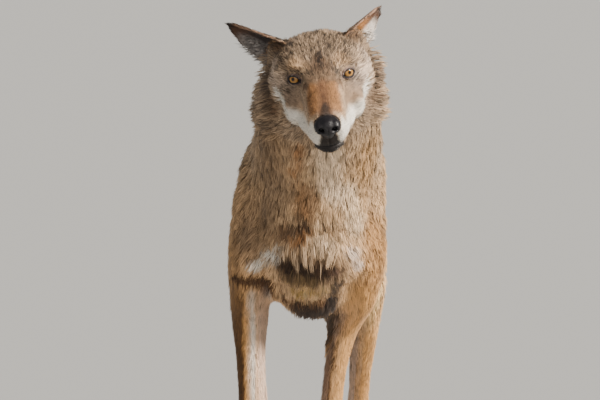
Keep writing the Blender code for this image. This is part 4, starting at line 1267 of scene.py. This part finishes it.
def grain_group():
    """Fine mottling of a colour, with a height for bump."""
    found = bpy.data.node_groups.get("hair_grain")
    if found:
        return found
    group = bpy.data.node_groups.new("hair_grain", "ShaderNodeTree")
    sockets = group.interface
    sockets.new_socket("Colour", in_out="INPUT", socket_type="NodeSocketColor")
    sockets.new_socket("Place", in_out="INPUT", socket_type="NodeSocketVector")
    sockets.new_socket("Scale", in_out="INPUT", socket_type="NodeSocketFloat").default_value = 500
    sockets.new_socket("Contrast", in_out="INPUT", socket_type="NodeSocketFloat").default_value = 0.3
    sockets.new_socket("Colour", in_out="OUTPUT", socket_type="NodeSocketColor")
    sockets.new_socket("Height", in_out="OUTPUT", socket_type="NodeSocketFloat")
    given = group.nodes.new("NodeGroupInput").outputs
    result = group.nodes.new("NodeGroupOutput").inputs
    noise = add_node(group, "TexNoise", {"Vector": given["Place"], "Scale": given["Scale"]}, {"Detail": 3})
    height = noise.outputs["Fac"]
    centred = add_node(group, "Math", {0: height}, {1: 0.5}, operation="SUBTRACT").outputs[0]
    scaled = add_node(group, "Math", {0: centred, 1: given["Contrast"]}, {2: 1.0},
                      operation="MULTIPLY_ADD").outputs[0]
    group.links.new(multiplied(group, given["Colour"], scaled), result["Colour"])
    group.links.new(height, result["Height"])
    return group


def grained(tree, shader, scale, contrast, bump, attribute=None):
    """Places the grain in a material, before its shader, and gives the input for its colour. It runs
    over the object, or over an attribute of the mesh."""
    if attribute:
        place = add_node(tree, "Attribute", {}, attribute_name=attribute).outputs["Vector"]
    else:
        place = add_node(tree, "TexCoord", {}).outputs["Object"]
    group = tree.nodes.new("ShaderNodeGroup")
    group.node_tree = grain_group()
    set_inputs(group, {"Scale": scale, "Contrast": contrast})
    tree.links.new(place, group.inputs["Place"])
    tree.links.new(group.outputs["Colour"], shader.inputs["Base Color"])
    relieved(tree, shader, group.outputs["Height"], 0.6, bump)
    return group.inputs["Colour"]


def coat_material():
    """Hair: soft, with a little sheen. Its colour is the markings'."""
    found = bpy.data.materials.get("coat_hair")
    if found:
        return found
    material, tree, shader = new_material(
        "coat_hair", {"Roughness": 0.60, "Specular IOR Level": 0.30, "Sheen Weight": 0.08})
    colour = add_node(tree, "Attribute", {}, attribute_name="coat_colour")
    tree.links.new(colour.outputs["Color"], grained(tree, shader, 1.0, 1.1, 0.0003, "strand"))
    return material


def skin_material():
    """The hide under the coat, rough where hair grows and smoother where it is bare."""
    material, tree, shader = new_material("hide", {"Specular IOR Level": 0.40})
    colour = add_node(tree, "Attribute", {}, attribute_name="coat_colour")
    tree.links.new(colour.outputs["Color"], grained(tree, shader, 900, 0.7, 0.0002))
    gloss = add_node(tree, "MapRange", {"Value": colour.outputs["Alpha"]}, {"To Min": 0.50, "To Max": 0.80})
    tree.links.new(gloss.outputs["Result"], shader.inputs["Roughness"])
    return material


def nose_material():
    """Black leather of small round bumps, a little wet."""
    material, tree, shader = new_material("moist_nose", {
        "Base Color": (0.0070, 0.0055, 0.0070, 1), "Roughness": 0.48, "Specular IOR Level": 0.30,
        "Coat Weight": 0.14, "Coat Roughness": 0.32})
    place = add_node(tree, "TexCoord", {}).outputs["Object"]
    cells = add_node(tree, "TexVoronoi", {"Vector": place}, {"Scale": 900}, feature="SMOOTH_F1")
    relieved(tree, shader, cells.outputs["Distance"], 0.5, 0.0005, invert=True)
    return material


def claw_material():
    """Dark horn, finely mottled."""
    material, tree, shader = new_material("dark_horn", {"Roughness": 0.38})
    grained(tree, shader, 700, 0.8, 0.0002).default_value = (0.045, 0.032, 0.025, 1)
    return material


# Colours from the middle of the eye outwards, by the iris's radius.
EYE_TONES = (
    (0.00, (0.002, 0.002, 0.002)),
    (0.22, (0.003, 0.002, 0.002)),
    (0.27, (0.07, 0.028, 0.006)),
    (0.42, (0.35, 0.165, 0.034)),
    (0.68, (0.41, 0.215, 0.056)),
    (0.82, (0.22, 0.095, 0.022)),
    (0.94, (0.04, 0.018, 0.008)),
    (1.06, (0.02, 0.012, 0.009)),
    (1.25, (0.10, 0.060, 0.045)),
)
EYE_REACH = 1.25


def eye_material():
    """A wet amber eye: pupil, iris with fibres, dark rim and brown white."""
    found = bpy.data.materials.get("wet_eye")
    if found:
        return found
    material, tree, shader = new_material("wet_eye", {
        "Roughness": 0.45, "Specular IOR Level": 0.05, "Coat Weight": 0.70, "Coat Roughness": 0.03})
    place = add_node(tree, "Attribute", {}, attribute_name="iris_place").outputs["Vector"]
    radius = add_node(tree, "VectorMath", {0: place}, operation="LENGTH").outputs["Value"]
    reach = add_node(tree, "Math", {0: radius}, {1: EYE_REACH}, operation="DIVIDE").outputs[0]
    tones = add_node(tree, "ValToRGB", {"Fac": reach})
    steps = tones.color_ramp.elements
    steps[0].color = (*EYE_TONES[0][1], 1)
    steps[-1].color = (*EYE_TONES[-1][1], 1)
    for at, colour in EYE_TONES[1:-1]:
        steps.new(at / EYE_REACH).color = (*colour, 1)
    # The fibres run outwards: the noise changes fast around the iris and slowly along its radius.
    around = add_node(tree, "VectorMath", {0: place}, operation="NORMALIZE").outputs[0]
    slow = add_node(tree, "VectorMath", {0: place}, {"Scale": 0.12}, operation="SCALE").outputs[0]
    both = add_node(tree, "VectorMath", {0: around, 1: slow}, operation="ADD").outputs[0]
    fibres = add_node(tree, "TexNoise", {"Vector": both}, {"Scale": 9, "Detail": 4}).outputs["Fac"]
    bright = add_node(tree, "MapRange", {"Value": fibres},
                      {"From Min": 0.3, "From Max": 0.7, "To Min": 0.65, "To Max": 1.35}).outputs["Result"]
    tree.links.new(multiplied(tree, tones.outputs["Color"], bright), shader.inputs["Base Color"])
    return material


# Eyes, nose, claws and whiskers.

EYE_SEGMENTS = 64
EYE_RINGS = 48
IRIS_RADIUS = 0.0075
CORNEA_RISE = 0.0009
GAZE_INWARD = math.radians(2)
GAZE_UP = math.radians(4)


def build_eye(name, side):
    """An eyeball with its clear bulge in front, looking a little more forward than its socket."""
    bpy.ops.object.select_all(action="DESELECT")
    bpy.ops.mesh.primitive_uv_sphere_add(segments=EYE_SEGMENTS, ring_count=EYE_RINGS, radius=EYE_RADIUS)
    obj = bpy.context.active_object
    obj.name = name
    mesh = obj.data
    points = coordinates(mesh)
    # The pole of the sphere is the middle of the pupil, and `off` the angle from it.
    off = np.arctan2(np.hypot(points[:, 0], points[:, 1]), points[:, 2])
    iris = math.asin(IRIS_RADIUS / EYE_RADIUS)
    place = np.zeros_like(points)
    place[:, :2] = points[:, :2] / IRIS_RADIUS
    place[off > 1.3] = (EYE_REACH, 0, 0)
    store(mesh.attributes, "iris_place", "FLOAT_VECTOR", place)
    bulge = 1 + CORNEA_RISE / EYE_RADIUS * ramp(off, 1.05 * iris, 0.30 * iris)
    set_coordinates(mesh, points * bulge[:, None])
    gaze = (Matrix.Rotation(-side * GAZE_INWARD, 4, "Z") @ Matrix.Rotation(-GAZE_UP, 4, "X")
            @ Matrix.Rotation(math.radians(90), 4, "X"))
    mesh.transform(eye_matrix(side) @ gaze)
    mesh.materials.append(eye_material())
    smooth_shaded(obj)
    return obj


NOSTRIL = (0.0094, -0.1370, -0.0175)
NOSTRIL_SIZE = (0.0044, 0.0080, 0.0036)
NOSE_GROW = 0.0003
NOSE_VOXEL = 0.0006


def build_nose():
    """The leather of the nose, with its nostrils, their slits and the groove down its middle."""
    obj = merged_copy("nose_pad", ["nose"], NOSE_GROW)
    apply_modifier(obj, "REMESH", mode="VOXEL", voxel_size=NOSE_VOXEL)
    mesh = obj.data
    points = spread(coordinates(mesh), edge_ends(mesh), 14, 0.5)
    head = in_head(points)
    across = np.abs(head[:, 0])
    pit = np.linalg.norm((mirrored(head) - np.array(NOSTRIL)) / np.array(NOSTRIL_SIZE), axis=1)
    depth = 0.0045 * ramp(pit, 1.25, 0.35)
    # The slit runs from the nostril outwards, down and back.
    run = np.clip((across - NOSTRIL[0]) / 0.0075, 0, 1)
    slit = ridge(head[:, 2], NOSTRIL[2] - 0.0010 - 0.0030 * run, 0.0011)
    slit = slit * ramp(across, NOSTRIL[0], NOSTRIL[0] + 0.002)
    depth += 0.0026 * slit * ramp(across, 0.0190, 0.0160) * (head[:, 1] < -0.112)
    groove = ridge(across, 0.0, 0.0008) * ramp(head[:, 2], -0.0130, -0.0200)
    depth += 0.0014 * groove * (head[:, 1] < -0.120)
    wing = 0.0005 * ridge(pit, 1.65, 0.35)
    set_coordinates(mesh, points)
    normals = vertex_normals(mesh)
    inward = unit(0.5 * -normals + 0.5 * from_head(np.array([[0.0, 1.0, 0.0]])))
    points = points + inward * depth[:, None] + normals * (wing + NOSE_GROW)[:, None]
    points = spread(points, edge_ends(mesh), 2, 0.4)
    set_coordinates(mesh, points)
    mesh.materials.append(nose_material())
    smooth_shaded(obj)
    return obj


CLAW_GROW = 0.0003
CLAW_SCALE = 0.74
CLAW_SUNK = 0.0015


def build_claw(node, material):
    """A smooth claw, as long as it shows from the fur, set into its toe."""
    obj = merged_copy(node.replace("claw", "horn"), [node], CLAW_GROW)
    apply_modifier(obj, "SUBSURF", levels=2, render_levels=2)
    leg = node.split("_claw")[0]
    paw = leg + ("_paw" if leg.startswith("foreleg") else "_foot")
    points = coordinates(obj.data)
    toward = np.array(middle(paw)) - points
    nearest = np.argmin(np.linalg.norm(toward, axis=1))
    root = points[nearest]
    inward = toward[nearest] / np.linalg.norm(toward[nearest]) * np.array([1, 1, 0])
    points = root + (points - root) * CLAW_SCALE + inward * CLAW_SUNK
    set_coordinates(obj.data, points)
    obj.data.materials.append(material)
    smooth_shaded(obj)
    return obj


# Height and number of whiskers in each row, the place of the first and the gap to the next, and how long,
# wide and bent down they are.
WHISKER_ROWS = ((-0.0300, 4), (-0.0350, 5), (-0.0400, 4))
WHISKER_FRONT = -0.106
WHISKER_GAP = 0.0085
WHISKER_LENGTH = 0.030
WHISKER_WIDTH = 0.00038
WHISKER_SAG = 0.18


def build_whiskers(skin):
    """Rows of long bristles on the pads beside the nose, the longest at the back."""
    tree = BVHTree.FromPolygons(skin.points.tolist(), skin.triangles.tolist())
    faces = np.flatnonzero(skin.head[skin.triangles[:, 0], 1] < -0.05)
    uv = region_map(skin, faces)
    roots, ways, lengths, spots = [], [], [], []
    for side in (1, -1):
        for row, (height, count) in enumerate(WHISKER_ROWS):
            for i in range(count):
                # Its root is where a line from the side of the head meets the skin.
                back = WHISKER_FRONT + WHISKER_GAP * i + 0.002 * row
                start = HEAD @ Vector((side * 0.06, back, height))
                toward = HEAD.to_3x3() @ Vector((-side, 0, 0))
                hit, _, face, _ = tree.ray_cast(start, toward)
                roots.append(hit)
                out = HEAD.to_3x3() @ Vector((side * 0.80, 0.30 + 0.12 * i, -0.35 - 0.10 * row))
                ways.append(out.normalized() + Vector(RNG.normal(0, 0.07, 3)))
                lengths.append(WHISKER_LENGTH + 0.006 * i + 0.008 * RNG.random())
                spots.append(uv[np.searchsorted(faces, face)].mean(0))
    roots, ways = np.array(roots), unit(np.array(ways))
    lengths = np.array(lengths)
    normals = unit(np.cross(np.cross(ways, np.array([0.0, 0.0, 1.0])), ways))
    side = np.cross(normals, ways)
    tips = roots + ways * lengths[:, None] - np.array([0.0, 0.0, WHISKER_SAG]) * lengths[:, None]
    tone = np.tile(SOOT, (len(roots), 1))
    return tufts("whiskers", "lock", roots, tips, side, normals, np.full(len(roots), WHISKER_WIDTH),
                 0.08 * lengths, tone, tone, np.array(spots), np.zeros(len(roots)))


# The skin as a whole, the camera and the studio.


def build_skin():
    """The skin, sunk and carved, with the lie of its hair and its markings."""
    obj = rough_skin()
    refine_face(obj)
    smooth_shaded(obj)
    skin = Skin(obj)
    skin.nose_gap = nose_gap(skin)
    sink_by_coat(skin)
    part_toes(skin)
    skin.eye_edge = np.minimum(carve_eye(skin, 1), carve_eye(skin, -1))
    carve_mouth(skin)
    skin.bare = bare_places(skin)
    skin.way = combed(skin)
    # The hair is finer, shorter and denser towards the lids, and longer on the crown.
    shorter = ramp(skin.eye_edge, 0.0015, 0.0120)
    for column, least in ((LENGTH, 0.35), (WIDTH, 0.65), (DEPTH, 0.35), (DENSITY, 1.6), (LIFT, 0.5)):
        skin.coat[:, column] *= mix(least, 1, shorter)
    crown = ramp(skin.head[:, 2], 0.030, 0.048) * skin.share("brow")
    skin.coat[:, LENGTH] *= 1 + 0.35 * crown
    skin.coat[:, LIFT] *= 1 + 1.20 * crown
    paint_skin(skin)
    return skin


def paint_skin(skin):
    """Stores the markings on the skin, dark where it is bare, darker under the longer hair (partly
    underfur, partly painted shade) and with painted shade in the creases between the toes. The fourth
    channel is the share of hair."""
    mesh = skin.obj.data
    colours, _ = marked(skin)
    # Painted shade, with the darker underfur: the skin under longer hair darkened.
    hidden = ramp(skin.coat[:, LENGTH], 0.008, 0.025)
    shown = colours * mix(0.80, 0.45, hidden)[:, None]
    shown = painted(shown, MAUVE, 0.8 * ramp(skin.eye_edge, 0.0060, 0.0030))
    shown = painted(shown, SOOT, ramp(skin.nose_gap, 0.0050, 0.0022))
    # Painted shade in the creases between the toes.
    shown = painted(shown, BROWN, 0.8 * skin.crease)
    shown = painted(shown, BARE, skin.bare)
    store(mesh.color_attributes, "coat_colour", "FLOAT_COLOR", np.column_stack([shown, 1 - skin.bare]))
    mesh.materials.clear()
    mesh.materials.append(skin_material())
    unwrap(skin.obj)
    mesh.uv_layers.active.name = "OFBake"


CAMERA_AWAY = 8.0
CAMERA_DROP = math.radians(3)
CAMERA_AIM = Vector((-0.030, 0.0, -0.1809))
SENSOR = 36
LENS = 336


def set_camera():
    """Eight metres in front, aimed at the breast and looking down a little."""
    data = bpy.data.cameras.new("camera")
    camera = bpy.data.objects.new("camera", data)
    bpy.context.scene.collection.objects.link(camera)
    back = Vector((0, -math.cos(CAMERA_DROP), math.sin(CAMERA_DROP)))
    camera.location = HEAD.translation + CAMERA_AIM + back * CAMERA_AWAY
    camera.rotation_euler = (math.radians(90) - CAMERA_DROP, 0, 0)
    data.sensor_width = SENSOR
    data.lens = LENS
    data.clip_end = 300
    bpy.context.scene.camera = camera


def sun(name, azimuth, elevation, strength, softness, colour):
    """A broad, even light from this side: azimuth 0 is in front, 90 the wolf's left."""
    data = bpy.data.lights.new(name, "SUN")
    data.energy = strength
    data.angle = math.radians(softness)
    data.color = colour
    obj = bpy.data.objects.new(name, data)
    bpy.context.scene.collection.objects.link(obj)
    turn, rise = math.radians(azimuth), math.radians(elevation)
    toward = Vector((math.sin(turn) * math.cos(rise), -math.cos(turn) * math.cos(rise), math.sin(rise)))
    obj.location = toward * 4
    obj.rotation_euler = toward.to_track_quat("Z", "Y").to_euler()


def set_studio():
    """A pale floor, a dim sky, a warm key light from the wolf's left and a weak fill from in front."""
    bpy.ops.object.select_all(action="DESELECT")
    bpy.ops.mesh.primitive_plane_add(size=240, location=(0, 0, 0))
    floor = bpy.context.active_object
    floor.name = "floor"
    material, _, _ = new_material("pale_floor", {"Base Color": (0.42, 0.42, 0.41, 1), "Roughness": 0.9})
    floor.data.materials.append(material)
    world = bpy.data.worlds.new("studio")
    world.use_nodes = True
    set_inputs(world.node_tree.nodes["Background"], {"Color": (0.96, 0.98, 1.0, 1), "Strength": 0.27})
    bpy.context.scene.world = world
    sun("key", 64, 30, 9.0, 12, (1.0, 0.94, 0.86))
    sun("fill", -12, 14, 0.60, 40, (1.0, 0.98, 0.96))


# Pieces of the coat: the part that each covers and its kind of tuft.
COAT_PIECES = {
    "coat_muzzle": ("muzzle", "spike"),
    "coat_brow": ("brow", "spike"),
    "coat_cheeks": ("cheek", "lock"),
    "coat_ears": ("ear", "spike"),
    "coat_throat": ("throat", "lock"),
    "coat_neck": ("neck", "lock"),
    "coat_back": ("back", "lock"),
    "coat_sides": ("side", "lock"),
    "coat_belly": ("belly", "lock"),
    "coat_shoulders": ("shoulder", "lock"),
    "coat_thighs": ("thigh", "lock"),
    "coat_forelegs": ("forearm", "spike"),
    "coat_shanks": ("shank", "spike"),
    "coat_feet": ("paw", "spike"),
    "coat_tail": ("tail", "lock"),
}
# The fringes' hair, in the order of COAT's values.
BREAST_FRINGE = (0.0130, 0.0370, 0.0012, 70, 0.0080, 0.70, 1.0)
BRISKET_FRINGE = (0.0060, 0.0240, 0.0009, 60, 0.0060, 0.60, 0.9)
RUFF_FRINGE = (0.0150, 0.0300, 0.0010, 26, 0.0080, 0.60, 2.2)
EAR_FRINGE = (0.0090, 0.0140, 0.0008, 40, 0.0050, 0.45, 1.0)


def grow_fringes(skin):
    """The ragged fringes of the breast and the brisket, the ruff, and the long hairs in the ears."""
    points = skin.points
    edge = stroke(points, [(-0.030, -0.365, 0.474, 0.012), (0.012, -0.375, 0.474, 0.017),
                           (0.036, -0.370, 0.474, 0.014)])
    edge = edge * (skin.normals[:, 1] < 0) * ramp(value_noise(points, 0.012, 31), -0.5, 0.3)
    down = along_skin(np.tile([0.0, 0.0, -1.0], (len(points), 1)), skin.normals)
    yield grow(skin, "fringe_breast", "lock", edge, BREAST_FRINGE, down, BREAST_TIPS, 0.20)

    hem = stroke(points, [(-0.036, -0.322, 0.403, 0.013), (0.030, -0.330, 0.405, 0.013)])
    hem = hem * (skin.normals[:, 1] < 0.1)
    yield grow(skin, "fringe_belly", "lock", hem, BRISKET_FRINGE, down, BRISKET_TIPS, 0.15)

    ruff = stroke(mirrored(skin.head), [(0.078, 0.045, 0.012, 0.012), (0.086, 0.045, -0.030, 0.020),
                                        (0.078, 0.050, -0.080, 0.026)])
    out = np.sign(skin.head[:, 0])
    ruff = ruff * ramp(out * skin.head_normals[:, 0], 0.1, 0.5) * (skin.share("ear") < 0.1)
    ones = np.ones(len(points))
    way = along_skin(from_head(np.stack([0.75 * out, 0.50 * ones, -0.40 * ones], 1)), skin.normals)
    yield grow(skin, "fringe_ruff", "lock", ruff, RUFF_FRINGE, way, None, 0.20)

    for ear in EARS:
        along, across = ear.place(skin.head)
        chosen = skin.on(ear.node) & (skin.head_normals @ ear.facing > 0.1)
        chosen = chosen * ramp(across, ear.fringe_top + 0.1, ear.fringe_top - 0.2)
        chosen = chosen * ramp(along, ear.fringe_end + 0.1, ear.fringe_end - 0.1) * ramp(along, -0.1, 0.0)
        way = from_head(unit((0.75 * ear.along - 0.60 * ear.across)[None]))
        way = along_skin(np.repeat(way, len(points), 0), skin.normals)
        coat = list(EAR_FRINGE)
        coat[LENGTH] = ear.fringe_length
        yield grow(skin, "fringe_" + ear.node, "lock", chosen, coat, way, ear.hairs, 0.10)


def main():
    set_camera()
    set_studio()
    skin = build_skin()
    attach(skin.obj, "root")
    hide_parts(*FLESH)
    hair = [grow(skin, name, kind, (skin.parts == PARTS.index(part)) * 1.0)
            for name, (part, kind) in COAT_PIECES.items()]
    hair += list(grow_fringes(skin))
    hair.append(build_whiskers(skin))
    for piece in hair:
        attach(piece, "root")
    for node, side in (("eye_left", 1), ("eye_right", -1)):
        eye = build_eye(node + "ball", side)
        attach(eye, "root")
        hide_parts(node)
    nose = build_nose()
    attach(nose, "root")
    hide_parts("nose")
    horn = claw_material()
    for node in CLAWS:
        claw = build_claw(node, horn)
        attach(claw, "root")
        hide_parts(node)


main()
